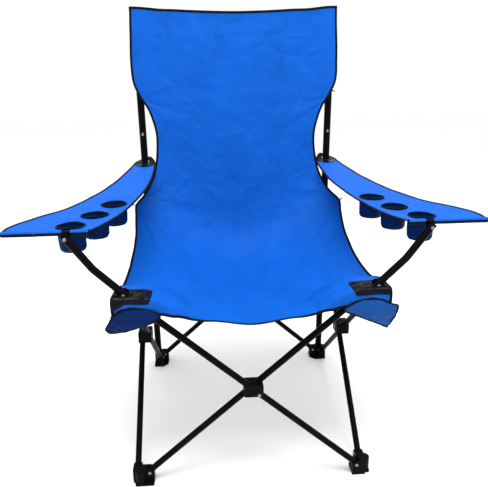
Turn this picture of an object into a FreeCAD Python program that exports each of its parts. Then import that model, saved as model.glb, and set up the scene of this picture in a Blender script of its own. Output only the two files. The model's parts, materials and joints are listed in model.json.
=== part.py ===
import FreeCAD, Part
import math
import os

# Giant folding camp chair with six cup holders.
# +Z is up, +X is the sitter's left when seated (right when looking at the chair's front),
# the front faces -Y, and the origin lies on the floor at the middle of the four feet.
# All sizes are in millimetres.

# ---- scissor frame ----
POST_SPACING = 806.0       # between the upright back posts, and between front and rear corners
FOOT_PIN_HEIGHT = 42.0     # lower leg pins above the floor
PIN_RISE = 665.0           # upper leg pins above the lower ones

LEG_OD = 22.0
LEG_WALL = 1.2
LEG_END = 9.0              # tube past its end pins
LEG_GAP = 1.0              # between the two tubes of one scissor

# ---- joints and rivets ----
RIVET_R = 3.0
RIVET_FIT = 0.08           # radial running clearance of a tube on its rivet
HEAD_R = 5.8
HEAD_HEIGHT = 2.2
HEAD_CLEAR = 0.8           # between a rivet's inner head and the ear beside it
CHEEK = 3.5                # wall beside a tube
CHEEK_GAP = 0.4            # between a cheek and its tube
CHEEK_R = 14.5             # rounded end of a cheek round its pin
SWING_GAP = 0.6            # between a tube's end and the plastic it swings past
CORE_CLEAR = 0.1           # between a swinging tube's end and a corner's upright core
ROOF = 5.2                 # plastic over or under a tube's end
SOLE = 8.0
SOLE_CHAMFER = 22.0

# ---- back posts and sliders ----
POST_OD = 30.0
POST_WALL = 1.2
POST_TOP = 1622.0
POST_CAP = 5.0
SLEEVE_WALL = 3.5
SLIDE_FIT = 0.35           # radial clearance of a slider on its post
SLEEVE_BELOW = 26.0        # slider sleeve under and over its pins
SLEEVE_ABOVE = 34.0
STOP_RISE = 421.0          # rivet that stops a slider, above the upper leg pins

# ---- centre hubs ----
HUB_WIDTH = 66.0
HUB_HEIGHT = 46.0
HUB_CORNER = 7.0
HUB_FACE = 3.5             # plastic outside the tube
HUB_GAP = 0.2              # each half from the scissor's middle plane
HUB_RIVET_ALONG = 25.0

# ---- arms ----
ARM_POST_OD = 24.0
ARM_POST_WALL = 1.2
ARM_POST_END = 12.5
ARM_PIN_RISE = 30.0        # arm post's lower pin above the leg pins
ARM_PIN_OUT = 157.0        # arm post's upper pin, out from the corner's axis
ARM_PIN_UP = 218.0         # and above the upper leg pins
ARM_POST_BEND = 10.0       # degrees
ARM_BEND_RADIUS = 70.0
ARM_BAR_OD = 14.0
ARM_BAR_LIFT = 12.0        # bar's axis over the arm post's upper pin
ARM_BAR_FROM = 97.0        # bar's ends, out from the corner's axis
ARM_BAR_TO = 345.0
ARM_TAB = 3.0
ARM_TAB_R = 9.5
ARM_GAP = 0.5              # between the arm post and the bar's tab

# ---- cloth ----
CLOTH = 2.0
CLOTH_CLEAR = 4.0          # cloth from the frame
ARM_REAR_UP = 295.0        # arm cloth at the back post, above the upper leg pins
ARM_REAR_GAP = 30.0        # from the arm cloth's straight edges to its rear end
ARM_FRONT_LAP = 1.0        # arm cloth past the bar
# arm cloth's edges: out from the corner's axis, and the share of the way back
ARM_OUTER_EDGE = [(349.0, 0.0), (333.0, 0.089), (223.0, 0.272), (45.0, 1.0)]
ARM_INNER_EDGE = [(-42.0, 1.0), (-38.0, 0.554), (22.0, 0.185), (97.0, 0.0)]
POST_HOLE_R = 19.5
CUP_OD = 92.0
CUP_WALL = 2.5
CUP_DEPTH = 88.0
CUP_RIM_R = 3.0
CUP_OFFSETS = [(160.0, 91.0), (105.0, 194.0), (60.0, 308.0)]  # out from and behind the corner's axis
PATCH_LENGTH = 100.0
PATCH_WIDTH = 62.0
PATCH_THICK = 1.2
POCKET_DROP = 58.0
TOP_POCKET_DROP = 272.0    # open end below the post's top
TOP_POCKET_RISE = 9.0      # closed end above it
POCKET_FIT = 0.6           # radial clearance of a pocket on its post

# ---- worked out from the sizes above ----
CORNER = POST_SPACING / 2
TUBE_OFFSET = (LEG_OD + LEG_GAP) / 2
CHANNEL = LEG_OD / 2 + CHEEK_GAP
CHEEK_OUT = CHANNEL + CHEEK
TUBE_SWING = math.hypot(LEG_END, LEG_OD / 2)
SWING_R = TUBE_SWING + SWING_GAP
# from a corner's upright axis to the leg pins: rivet heads clear the other ear, tube ends the core
PIN_INSET = max(TUBE_OFFSET + CHEEK_OUT + HEAD_R + HEAD_CLEAR,
                POST_OD / 2 + SLEEVE_WALL + TUBE_SWING + CORE_CLEAR)
PIN_XY = CORNER - PIN_INSET
TOP_PIN_HEIGHT = FOOT_PIN_HEIGHT + PIN_RISE
LEG_ANGLE = math.degrees(math.atan2(PIN_RISE, 2 * PIN_XY))
ARM_HINGE_Z = TOP_PIN_HEIGHT + ARM_PIN_RISE
STOP_HEIGHT = TOP_PIN_HEIGHT + STOP_RISE
ARM_PIN_X = CORNER + ARM_PIN_OUT
ARM_PIN_Z = TOP_PIN_HEIGHT + ARM_PIN_UP
ARM_BAR_INNER = CORNER + ARM_BAR_FROM
ARM_BAR_OUTER = CORNER + ARM_BAR_TO
ARM_REAR_Z = TOP_PIN_HEIGHT + ARM_REAR_UP
CUP_PLACES = [(CORNER + out, back - CORNER) for out, back in CUP_OFFSETS]
ARM_BAR_Y = -CORNER + ARM_POST_OD / 2 + ARM_GAP + ARM_BAR_OD / 2
ARM_BAR_Z = ARM_PIN_Z + ARM_BAR_LIFT
FLAP_Y = -CORNER - TUBE_OFFSET - CHEEK_OUT - HEAD_HEIGHT - CLOTH_CLEAR
ARM_REAR_Y = CLOTH - FLAP_Y  # the arm cloth reaches as far behind as the corner flaps reach in front
UP = FreeCAD.Vector(0, 0, 1)
SIDE_NAMES = ["front", "right", "rear", "left"]
CORNER_NAMES = ["front_left", "front_right", "rear_right", "rear_left"]


def vec(x, y, z):
    return FreeCAD.Vector(x, y, z)


def save(shape, node):
    shape.exportStep("parts/" + node + ".step")


def rod(radius, start, end):
    run = end - start
    return Part.makeCylinder(radius, run.Length, start, run)


def quarter_turned(shape, turns):
    """The shape turned about the chair's upright centre line by quarter turns."""
    copy = shape.copy()
    copy.rotate(vec(0, 0, 0), UP, 90 * turns)
    return copy


def mirrored(shape):
    return shape.mirror(vec(0, 0, 0), vec(1, 0, 0))


def prism(points, along):
    return Part.Face(Part.makePolygon(points + [points[0]])).extrude(along)


def rounded_plate(width, height, corner, thickness):
    """A plate in the XZ plane, centred, that reaches from y 0 to y thickness."""
    wide = Part.makeBox(width, thickness, height - 2 * corner, vec(-width / 2, 0, corner - height / 2))
    tall = Part.makeBox(width - 2 * corner, thickness, height, vec(corner - width / 2, 0, -height / 2))
    plate = wide.fuse(tall)
    for x_side in (-1, 1):
        for z_side in (-1, 1):
            centre = vec(x_side * (width / 2 - corner), 0, z_side * (height / 2 - corner))
            plate = plate.fuse(Part.makeCylinder(corner, thickness, centre, vec(0, 1, 0)))
    return plate.removeSplitter()


def domed_head(centre, outwards):
    """A low rounded rivet head that stands on a face at centre."""
    head = Part.makeCylinder(HEAD_R, HEAD_HEIGHT, centre, outwards)
    rim = [edge for edge in head.Edges if (edge.CenterOfMass - centre).dot(outwards) > HEAD_HEIGHT / 2
           and edge.Closed]
    return head.makeFillet(HEAD_HEIGHT * 0.7, rim[:1])


def rivet(start, end):
    """A rivet through parts from start to end, with a head at each end."""
    run = (end - start).normalize()
    shank = rod(RIVET_R, start, end)
    return shank.fuse([domed_head(start, run * -1), domed_head(end, run)]).removeSplitter()


# ---- legs: one scissor is made for the front and turned to the other sides ----

def leg_ends(outer):
    """Lower and upper pin of a front leg: the outer one rises to the left, the inner one to the right."""
    side = 1 if outer else -1
    plane = -CORNER - side * TUBE_OFFSET
    return vec(side * PIN_XY, plane, FOOT_PIN_HEIGHT), vec(-side * PIN_XY, plane, TOP_PIN_HEIGHT)


def cross_hole(place, radius):
    half = vec(0, LEG_OD, 0)
    return rod(radius, place - half, place + half)


def leg(outer):
    low, high = leg_ends(outer)
    along = (high - low).normalize()
    start = low - along * LEG_END
    end = high + along * LEG_END
    tube = rod(LEG_OD / 2, start, end).cut(rod(LEG_OD / 2 - LEG_WALL, start, end))
    middle = (low + high) * 0.5
    pivot_r = RIVET_R if outer else RIVET_R + RIVET_FIT
    holes = [cross_hole(low, RIVET_R + RIVET_FIT), cross_hole(high, RIVET_R + RIVET_FIT),
             cross_hole(middle, pivot_r)]
    if outer:
        holes.append(hub_rivet_hole())
    return tube.cut(holes)


def hub_rivet_place():
    low, high = leg_ends(True)
    return (low + high) * 0.5 + (low - high).normalize() * HUB_RIVET_ALONG


def hub_rivet_hole():
    place = hub_rivet_place()
    return rod(RIVET_R, place - vec(0, LEG_OD, 0), place)


def hub_half(outer):
    """Half of the moulded block round a scissor's crossing; each half holds one tube."""
    side = -1 if outer else 1
    thickness = TUBE_OFFSET + LEG_OD / 2 + HUB_FACE - HUB_GAP
    block = rounded_plate(HUB_WIDTH, HUB_HEIGHT, HUB_CORNER, thickness)
    near_y = -CORNER + HUB_GAP if not outer else -CORNER - HUB_GAP - thickness
    middle_z = (FOOT_PIN_HEIGHT + TOP_PIN_HEIGHT) / 2
    block.translate(vec(0, near_y, middle_z))
    outer_y = -CORNER + side * (HUB_GAP + thickness)
    rim = [edge for edge in block.Edges if abs(edge.CenterOfMass.y - outer_y) < 0.01]
    block = block.makeFillet(1.8, rim)
    low, high = leg_ends(outer)
    block = block.cut(rod(LEG_OD / 2, low, high))
    middle = (low + high) * 0.5
    if outer:
        blind = vec(middle.x, middle.y - TUBE_OFFSET, middle.z)
        block = block.cut(rod(RIVET_R, blind, middle + vec(0, LEG_OD, 0)))
        return block.cut(hub_rivet_hole())
    return block.cut(cross_hole(middle, RIVET_R + RIVET_FIT))


def hub_rivets():
    """The hidden pivot pin with its inner head, and the rivet that holds the outer half on its tube."""
    middle_z = (FOOT_PIN_HEIGHT + TOP_PIN_HEIGHT) / 2
    outer_face = TUBE_OFFSET + LEG_OD / 2 + HUB_FACE
    start = vec(0, -CORNER - 2 * TUBE_OFFSET, middle_z)
    end = vec(0, -CORNER + outer_face + RIVET_FIT, middle_z)
    pivot = rod(RIVET_R, start, end).fuse(domed_head(end, vec(0, 1, 0)))
    place = hub_rivet_place()
    face = vec(place.x, -CORNER - outer_face, place.z)
    fixing = rod(RIVET_R, face, place).fuse(domed_head(face, vec(0, -1, 0)))
    return Part.makeCompound([pivot.removeSplitter(), fixing.removeSplitter()])


# ---- feet and upper joints: made for the front left corner, turned to the others ----
# Ears are built along local p, which runs inwards from the corner's upright axis.

def fan(is_foot):
    """The space that a leg sweeps between open and folded, in the XZ plane round its pin at the origin."""
    way = 1 if is_foot else -1
    low = math.radians(LEG_ANGLE - 0.5)
    reach = 160.0
    near = vec(CHANNEL * math.sin(low), 0, -way * CHANNEL * math.cos(low))
    far = near + vec(reach * math.cos(low), 0, way * reach * math.sin(low))
    return [near, far, vec(reach, 0, way * 1.2 * reach), vec(-CHANNEL, 0, way * 1.2 * reach),
            vec(-CHANNEL, 0, 0)]


def ear(is_foot, offset):
    """One ear with its channel, along +X from the corner axis; offset is the channel's middle in y."""
    pin_z = FOOT_PIN_HEIGHT if is_foot else TOP_PIN_HEIGHT
    way = -1 if is_foot else 1
    depth = FOOT_PIN_HEIGHT if is_foot else SWING_R + ROOF
    width = 2 * CHEEK_OUT
    start = vec(0, offset - CHEEK_OUT, 0)
    disc = Part.makeCylinder(CHEEK_R, width, start + vec(PIN_INSET, 0, pin_z), vec(0, 1, 0))
    arm = Part.makeBox(PIN_INSET, width, 2 * CHEEK_R, start + vec(0, 0, pin_z - CHEEK_R))
    closed_low = pin_z - depth if is_foot else pin_z
    closed = Part.makeBox(PIN_INSET + CHEEK_R, width, depth, start + vec(0, 0, closed_low))
    body = disc.fuse([arm, closed])
    pin = vec(PIN_INSET, offset - CHANNEL, pin_z)
    swing = Part.makeCylinder(SWING_R, 2 * CHANNEL, pin, vec(0, 1, 0))
    sweep = prism([pin + point for point in fan(is_foot)], vec(0, 2 * CHANNEL, 0))
    hole_start = vec(PIN_INSET, offset - CHEEK_OUT, pin_z)
    hole = rod(RIVET_R, hole_start, hole_start + vec(0, width, 0))
    return body.cut([swing, sweep, hole])


def along_y(shape):
    """Swaps x and y, so that an ear that runs along x runs along y."""
    return shape.mirror(vec(0, 0, 0), vec(1, -1, 0))


def ear_pair(is_foot):
    """The two ears of a corner: the one along x holds the front leg, the one along y the side leg."""
    front_offset = TUBE_OFFSET if is_foot else -TUBE_OFFSET
    return ear(is_foot, front_offset), along_y(ear(is_foot, -front_offset))


def ear_rivets(is_foot):
    pin_z = FOOT_PIN_HEIGHT if is_foot else TOP_PIN_HEIGHT
    front_offset = TUBE_OFFSET if is_foot else -TUBE_OFFSET
    start = vec(PIN_INSET, front_offset - CHEEK_OUT, pin_z)
    front = rivet(start, start + vec(0, 2 * CHEEK_OUT, 0))
    start = vec(PIN_INSET, -front_offset - CHEEK_OUT, pin_z)
    side = along_y(rivet(start, start + vec(0, 2 * CHEEK_OUT, 0)))
    return [front, side]


def sole():
    """Flat pad under a foot, with its inner corner cut off and its edges rounded."""
    low = -(POST_OD / 2 + SLEEVE_WALL)
    high = PIN_INSET + CHEEK_R
    corners = [vec(low, low, 0), vec(high, low, 0), vec(high, high - SOLE_CHAMFER, 0),
               vec(high - SOLE_CHAMFER, high, 0), vec(low, high, 0)]
    pad = prism(corners, vec(0, 0, SOLE))
    upright = [edge for edge in pad.Edges if abs(edge.tangentAt(edge.FirstParameter).z) > 0.99]
    return pad.makeFillet(5.0, upright)


def foot(has_post):
    core_r = POST_OD / 2 + SLEEVE_WALL
    core = Part.makeCylinder(core_r, FOOT_PIN_HEIGHT + CHEEK_R, vec(0, 0, 0))
    front_ear, side_ear = ear_pair(True)
    body = front_ear.fuse([side_ear, core, sole()])
    if has_post:
        body = body.cut(Part.makeCylinder(POST_OD / 2, 2 * POST_SPACING, vec(0, 0, SOLE)))
    return body.removeSplitter()


def slider():
    core_r = POST_OD / 2 + SLEEVE_WALL
    low = TOP_PIN_HEIGHT - SLEEVE_BELOW
    core = Part.makeCylinder(core_r, SLEEVE_BELOW + SLEEVE_ABOVE, vec(0, 0, low))
    front_ear, side_ear = ear_pair(False)
    body = front_ear.fuse([side_ear, core])
    bore = Part.makeCylinder(POST_OD / 2 + SLIDE_FIT, 2 * SLEEVE_ABOVE + 2 * SLEEVE_BELOW,
                             vec(0, 0, low - SLEEVE_BELOW))
    return body.cut(bore).removeSplitter()


def arm_cheeks():
    """Two upright ears on the corner joint that hold the arm post's lower end."""
    inside = ARM_POST_OD / 2 + CHEEK_GAP
    roof_z = TOP_PIN_HEIGHT + SWING_R + ROOF
    cheeks = []
    for y in (-inside - CHEEK, inside):
        disc = Part.makeCylinder(CHEEK_R, CHEEK, vec(0, y, ARM_HINGE_Z), vec(0, 1, 0))
        web = Part.makeBox(2 * CHEEK_R, CHEEK, ARM_HINGE_Z - roof_z + 2, vec(-CHEEK_R, y, roof_z - 2))
        cheeks.append(disc.fuse(web))
    return cheeks


def corner_joint(side):
    """Front corner joint of one side, in place: side -1 is the left one."""
    core_r = POST_OD / 2 + SLEEVE_WALL
    roof_z = TOP_PIN_HEIGHT + SWING_R + ROOF
    low = TOP_PIN_HEIGHT - SLEEVE_BELOW
    core = Part.makeCylinder(core_r, roof_z - low, vec(0, 0, low))
    front_ear, side_ear = ear_pair(False)
    body = at_corner(front_ear.fuse([side_ear, core]), 0 if side < 0 else 1)
    body = body.fuse([at_arm_hinge(cheek, side) for cheek in arm_cheeks()])
    swing_r = math.hypot(ARM_POST_END, ARM_POST_OD / 2) + SWING_GAP
    inside = ARM_POST_OD / 2 + CHEEK_GAP
    swing = Part.makeCylinder(swing_r, 2 * inside, vec(0, -inside, ARM_HINGE_Z), vec(0, 1, 0))
    outside = inside + CHEEK
    hinge = rod(RIVET_R, vec(0, -outside, ARM_HINGE_Z), vec(0, outside, ARM_HINGE_Z))
    return body.cut([at_arm_hinge(swing, side), at_arm_hinge(hinge, side)]).removeSplitter()


def at_arm_hinge(shape, side):
    copy = shape.copy()
    copy.translate(vec(side * CORNER, -CORNER, 0))
    return copy


def corner_rivets(side):
    ears = [at_corner(one, 0 if side < 0 else 1) for one in ear_rivets(False)]
    return Part.makeCompound(ears + [at_arm_hinge(arm_hinge_rivet(), side)])


def arm_hinge_rivet():
    outside = ARM_POST_OD / 2 + CHEEK_GAP + CHEEK
    return rivet(vec(0, -outside, ARM_HINGE_Z), vec(0, outside, ARM_HINGE_Z))


def at_corner(shape, corner):
    """Moves a part made round the origin to a corner: 0 front left, then round to the right."""
    copy = shape.copy()
    copy.translate(vec(-CORNER, -CORNER, 0))
    return quarter_turned(copy, corner)


# ---- back posts ----

def back_post():
    tube = rod(POST_OD / 2, vec(0, 0, SOLE), vec(0, 0, POST_TOP))
    tube = tube.cut(rod(POST_OD / 2 - POST_WALL, vec(0, 0, SOLE), vec(0, 0, POST_TOP)))
    return tube.cut(rod(RIVET_R, vec(0, 0, STOP_HEIGHT), vec(0, -POST_OD, STOP_HEIGHT)))


def stop_rivet():
    """The rivet in a back post's front that stops its slider; its head is hollowed to the tube."""
    face = vec(0, -POST_OD / 2, STOP_HEIGHT)
    skirt = Part.makeCylinder(HEAD_R, HEAD_HEIGHT, face, vec(0, 1, 0))
    head = domed_head(face, vec(0, -1, 0)).fuse(skirt)
    head = head.cut(rod(POST_OD / 2, vec(0, 0, 0), vec(0, 0, POST_TOP)))
    return head.fuse(rod(RIVET_R, face, face + vec(0, POST_WALL, 0))).removeSplitter()


def post_cap():
    """Rounded plug in the top of a back post."""
    top = Part.makeCylinder(POST_OD / 2, POST_CAP, vec(0, 0, POST_TOP))
    rim = [edge for edge in top.Edges if edge.CenterOfMass.z > POST_TOP + POST_CAP / 2 and edge.Closed]
    top = top.makeFillet(POST_CAP * 0.6, rim[:1])
    stem = Part.makeCylinder(POST_OD / 2 - POST_WALL, POST_OD / 2, vec(0, 0, POST_TOP - POST_OD / 2))
    return top.fuse(stem).removeSplitter()


# ---- arms, made for the left side ----

def arm_route():
    """Hinge, bend and upper pin of the left arm post, all in the plane of the front corners."""
    hinge = vec(-CORNER, -CORNER, ARM_HINGE_Z)
    pin = vec(-ARM_PIN_X, -CORNER, ARM_PIN_Z)
    run = pin - hinge
    half = run * 0.5
    bow = half.Length * math.tan(math.radians(ARM_POST_BEND / 2))
    outwards = vec(run.z, 0, -run.x).normalize() * -1
    return hinge, hinge + half + outwards * bow, pin


def bent_rod(radius, extra):
    """Solid along the arm post's route, with its ends extra past the pins."""
    hinge, bend, pin = arm_route()
    low_way = (bend - hinge).normalize()
    high_way = (pin - bend).normalize()
    turn = low_way.getAngle(high_way)
    back = ARM_BEND_RADIUS * math.tan(turn / 2)
    start = hinge - low_way * extra
    leave = bend - low_way * back
    arrive = bend + high_way * back
    end = pin + high_way * extra
    inwards = (high_way - low_way).normalize()
    middle = bend + inwards * (ARM_BEND_RADIUS / math.cos(turn / 2) - ARM_BEND_RADIUS)
    path = Part.Wire([Part.makeLine(start, leave), Part.Arc(leave, middle, arrive).toShape(),
                      Part.makeLine(arrive, end)])
    ring = Part.Wire([Part.makeCircle(radius, start, low_way)])
    return path.makePipeShell([ring], True, False)


def arm_post():
    tube = bent_rod(ARM_POST_OD / 2, ARM_POST_END).cut(bent_rod(ARM_POST_OD / 2 - ARM_POST_WALL, ARM_POST_END))
    hinge, _, pin = arm_route()
    half = vec(0, ARM_POST_OD, 0)
    return tube.cut([rod(RIVET_R + RIVET_FIT, hinge - half, hinge + half), rod(RIVET_R, pin - half, pin + half)])


def arm_bar():
    """Bar along the front of the arm cloth, with the tab that the arm post is riveted to."""
    length = ARM_BAR_OUTER - ARM_BAR_INNER
    bar = Part.makeCylinder(ARM_BAR_OD / 2, length, vec(-ARM_BAR_OUTER, ARM_BAR_Y, ARM_BAR_Z), vec(1, 0, 0))
    tab_y = ARM_BAR_Y - ARM_BAR_OD / 2
    disc = Part.makeCylinder(ARM_TAB_R, ARM_TAB, vec(-ARM_PIN_X, tab_y, ARM_PIN_Z), vec(0, 1, 0))
    web = Part.makeBox(2 * ARM_TAB_R, ARM_TAB, ARM_BAR_LIFT, vec(-ARM_PIN_X - ARM_TAB_R, tab_y, ARM_PIN_Z))
    pin = vec(-ARM_PIN_X, tab_y, ARM_PIN_Z)
    hole = rod(RIVET_R + RIVET_FIT, pin - vec(0, ARM_TAB, 0), pin + vec(0, 3 * ARM_BAR_OD, 0))
    return bar.fuse([disc, web]).cut(hole).removeSplitter()


def arm_rivet():
    """Joins the arm post to the bar's tab; its front head shows on the post."""
    front = vec(-ARM_PIN_X, -CORNER - ARM_POST_OD / 2, ARM_PIN_Z)
    back = vec(-ARM_PIN_X, ARM_BAR_Y - ARM_BAR_OD / 2 + ARM_TAB + RIVET_FIT, ARM_PIN_Z)
    shank = rod(RIVET_R, front, back)
    tail = Part.makeCylinder(RIVET_R + 1.5, 1.2, back, vec(0, 1, 0))
    clear = rod(ARM_BAR_OD / 2 + 0.3, vec(-ARM_BAR_OUTER, ARM_BAR_Y, ARM_BAR_Z),
                vec(-ARM_BAR_INNER, ARM_BAR_Y, ARM_BAR_Z))
    return domed_head(front, vec(0, -1, 0)).fuse([shank, tail.cut(clear)]).removeSplitter()


# ---- cloth: plain closed solids at the cloth's place ----

def spline_face(points):
    curve = Part.BSplineCurve()
    curve.interpolate(points)
    return curve.toShape()


def arm_height(y):
    """Height of the arm cloth's under side, which rises from the bar to the back post."""
    front_z = ARM_BAR_Z - CLOTH / 2
    return front_z + (ARM_REAR_Z - front_z) * (y - ARM_BAR_Y) / (ARM_REAR_Y - ARM_BAR_Y)


def on_arm(x, y, lift=0.0):
    return vec(x, y, arm_height(y) + lift)


def arm_sheet():
    """Left arm cloth: wide at its bar, narrow where the back post passes through it."""
    front_y = ARM_BAR_Y + ARM_BAR_OD / 2 + ARM_FRONT_LAP
    length = ARM_REAR_Y - ARM_REAR_GAP - front_y
    outer = [(-CORNER - out, front_y + share * length) for out, share in ARM_OUTER_EDGE]
    inner = [(-CORNER - out, front_y + share * length) for out, share in ARM_INNER_EDGE]
    outer_edge = spline_face([on_arm(*place) for place in outer])
    inner_edge = spline_face([on_arm(*place) for place in inner])
    rear = Part.Arc(on_arm(*outer[-1]), on_arm(-CORNER, ARM_REAR_Y), on_arm(*inner[0])).toShape()
    front = Part.makeLine(on_arm(*inner[-1]), on_arm(*outer[0]))
    sheet = Part.Face(Part.Wire([outer_edge, rear, inner_edge, front])).extrude(vec(0, 0, CLOTH))
    holes = [Part.makeCylinder(POST_HOLE_R, ARM_REAR_Z, vec(-CORNER, CORNER, ARM_REAR_Z / 2))]
    for x, y in CUP_PLACES:
        holes.append(Part.makeCylinder(CUP_OD / 2 + CUP_RIM_R, 4 * CUP_DEPTH, vec(-x, y, ARM_REAR_Z - 3 * CUP_DEPTH)))
    return sheet.cut(holes)


def cup_pouches(side):
    """Three hanging cloth cups under one arm."""
    cups = []
    for x, y in CUP_PLACES:
        top = arm_height(y) + CLOTH / 2
        low = vec(side * x, y, top - CUP_DEPTH)
        wall = Part.makeCylinder(CUP_OD / 2, CUP_DEPTH, low)
        inside = Part.makeCylinder(CUP_OD / 2 - CUP_WALL, CUP_DEPTH, low + vec(0, 0, CUP_WALL))
        cups.append(wall.cut(inside))
    return Part.makeCompound(cups)


def cup_rims(side):
    rims = []
    for x, y in CUP_PLACES:
        top = arm_height(y) + CLOTH / 2
        rims.append(Part.makeTorus(CUP_OD / 2, CUP_RIM_R, vec(side * x, y, top + CUP_RIM_R)))
    return Part.makeCompound(rims)


def at(stations, t):
    """A smooth value at t between evenly spaced stations of (x, y, z)."""
    place = t * (len(stations) - 1)
    low = min(int(place), len(stations) - 2)
    part = place - low
    before = stations[max(low - 1, 0)]
    start = stations[low]
    end = stations[low + 1]
    after = stations[min(low + 2, len(stations) - 1)]
    result = []
    for b, s, e, a in zip(before, start, end, after):
        result.append(s + 0.5 * part * (e - b + part * (2 * b - 5 * s + 4 * e - a + part * (3 * (s - e) + a - b))))
    return result


# middle of the sling and its left edge, at even steps from the front hem to the top
SEAT_PINS = TOP_PIN_HEIGHT
SLING_CENTRE = [(0, -CORNER - 31, SEAT_PINS - 75), (0, -0.62 * CORNER, SEAT_PINS - 105),
                (0, -0.10 * CORNER, SEAT_PINS - 123), (0, 0.35 * CORNER, SEAT_PINS - 119),
                (0, 0.72 * CORNER, SEAT_PINS - 67), (0, CORNER - 41, SEAT_PINS + 93),
                (0, CORNER - 29, POST_TOP - 612), (0, CORNER - 25, POST_TOP - 402),
                (0, CORNER - 22, POST_TOP - 202), (0, CORNER - 20, POST_TOP - 10)]
SLING_EDGE = [(-CORNER - 33, -CORNER - 31, SEAT_PINS - 17), (-CORNER - 27, -0.695 * CORNER, SEAT_PINS - 1),
              (-CORNER - 25, -0.273 * CORNER, SEAT_PINS + 5), (-CORNER - 25, 0.149 * CORNER, SEAT_PINS + 33),
              (-CORNER - 27, 0.571 * CORNER, SEAT_PINS + 113), (-CORNER + 15, CORNER - 73, SEAT_PINS + 205),
              (-CORNER + 57, CORNER - 29, POST_TOP - 562), (-CORNER + 29, CORNER - 23, POST_TOP - 387),
              (-CORNER - 21, CORNER - 20, POST_TOP - 202), (-CORNER - 16, CORNER - 20, POST_TOP + 6)]
SLING_CURVE = 1.6          # how flat the sling hangs across its width
SLING_STEPS = 18
SEAT_STEPS = 9             # of them in the seat panel, the rest in the back panel
SLING_ACROSS = 10


def sling_point(across, t):
    """A point on the sling's front face; across runs from -1 at the left edge to 1 at the right."""
    middle = at(SLING_CENTRE, t)
    edge = at(SLING_EDGE, t)
    droop = 1 - abs(across) ** SLING_CURVE
    side = -across * edge[0]
    return vec(side, edge[1] + (middle[1] - edge[1]) * droop, edge[2] + (middle[2] - edge[2]) * droop)


def sling_normal(across, t):
    step = 0.01
    low = max(t - step, 0.0)
    high = min(t + step, 1.0)
    left = max(across - step, -1.0)
    right = min(across + step, 1.0)
    along = sling_point(across, high) - sling_point(across, low)
    over = sling_point(right, t) - sling_point(left, t)
    return over.cross(along).normalize()


def triangle(a, b, c):
    return Part.Face(Part.makePolygon([a, b, c, a]))


def sling_panel(first, last):
    """Part of the hanging sheet from one step to another, as a closed skin of small facets."""
    top = []
    under = []
    for row in range(first, last + 1):
        t = row / SLING_STEPS
        spots = [2 * col / SLING_ACROSS - 1 for col in range(SLING_ACROSS + 1)]
        top.append([sling_point(spot, t) for spot in spots])
        under.append([sling_point(spot, t) - sling_normal(spot, t) * CLOTH for spot in spots])
    faces = []
    for row in range(last - first):
        for col in range(SLING_ACROSS):
            for grid, flip in ((top, False), (under, True)):
                a, b = grid[row][col], grid[row][col + 1]
                c, d = grid[row + 1][col + 1], grid[row + 1][col]
                faces.append(triangle(a, c, b) if flip else triangle(a, b, c))
                faces.append(triangle(a, d, c) if flip else triangle(a, c, d))
    rims = []
    for row in range(last - first):
        rims.append((top[row][0], top[row + 1][0], under[row + 1][0], under[row][0]))
        rims.append((top[row + 1][-1], top[row][-1], under[row][-1], under[row + 1][-1]))
    for col in range(SLING_ACROSS):
        rims.append((top[0][col + 1], top[0][col], under[0][col], under[0][col + 1]))
        rims.append((top[-1][col + 1], under[-1][col + 1], under[-1][col], top[-1][col]))
    for a, b, c, d in rims:
        faces.append(triangle(a, b, c))
        faces.append(triangle(a, c, d))
    return Part.Solid(Part.makeShell(faces))


def top_pocket(side):
    """Closed sleeve at the sling's top corner that hangs on a back post."""
    inner_r = POST_OD / 2 + POCKET_FIT
    outer_r = inner_r + CLOTH
    height = TOP_POCKET_DROP + TOP_POCKET_RISE
    low = vec(side * CORNER, CORNER, POST_TOP - TOP_POCKET_DROP)
    sleeve = Part.makeCylinder(outer_r, height, low)
    inside = Part.makeCylinder(inner_r, height - CLOTH, low)
    return sleeve.cut(inside)


def seat_panel():
    """The seat's cloth, open where the front corner joints come through it."""
    sheet = sling_panel(0, SEAT_STEPS)
    for side in (-1, 1):
        reach = 2 * (CHEEK_OUT + TUBE_OFFSET + CLOTH_CLEAR)
        width = PIN_INSET + CHEEK_R + 2 * reach
        notch = Part.makeBox(width, width, POST_SPACING, vec(-reach, -reach, TOP_PIN_HEIGHT - POST_SPACING / 4))
        notch.translate(vec(-CORNER, -CORNER, 0))
        sheet = sheet.cut(notch if side < 0 else mirrored(notch))
    return sheet


def back_panel():
    """The back's cloth with the two pockets that hang it on the posts."""
    sheet = sling_panel(SEAT_STEPS, SLING_STEPS)
    for side in (-1, 1):
        sheet = sheet.cut(Part.makeCylinder(POST_OD / 2 + POCKET_FIT, POST_TOP, vec(side * CORNER, CORNER, 0)))
        sheet = sheet.fuse(top_pocket(side))
    return sheet


def corner_patch():
    """Left vinyl patch on the seat cloth, with an opening for the arm post's joint."""
    low = vec(-CORNER - PATCH_LENGTH * 0.3, -CORNER - PATCH_WIDTH * 0.45, TOP_PIN_HEIGHT + SWING_R + ROOF + 0.4)
    patch = Part.makeBox(PATCH_LENGTH, PATCH_WIDTH, PATCH_THICK, low)
    upright = [edge for edge in patch.Edges if abs(edge.tangentAt(edge.FirstParameter).z) > 0.99]
    patch = patch.makeFillet(8.0, upright)
    half_x = math.hypot(ARM_POST_END, ARM_POST_OD / 2) + 3
    half_y = ARM_POST_OD / 2 + CHEEK_GAP + CHEEK + HEAD_HEIGHT + 1.5
    opening = Part.makeBox(2 * half_x, 2 * half_y, 4 * PATCH_THICK,
                           vec(-CORNER - half_x, -CORNER - half_y, low.z - PATCH_THICK))
    return patch.cut(opening)


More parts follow.
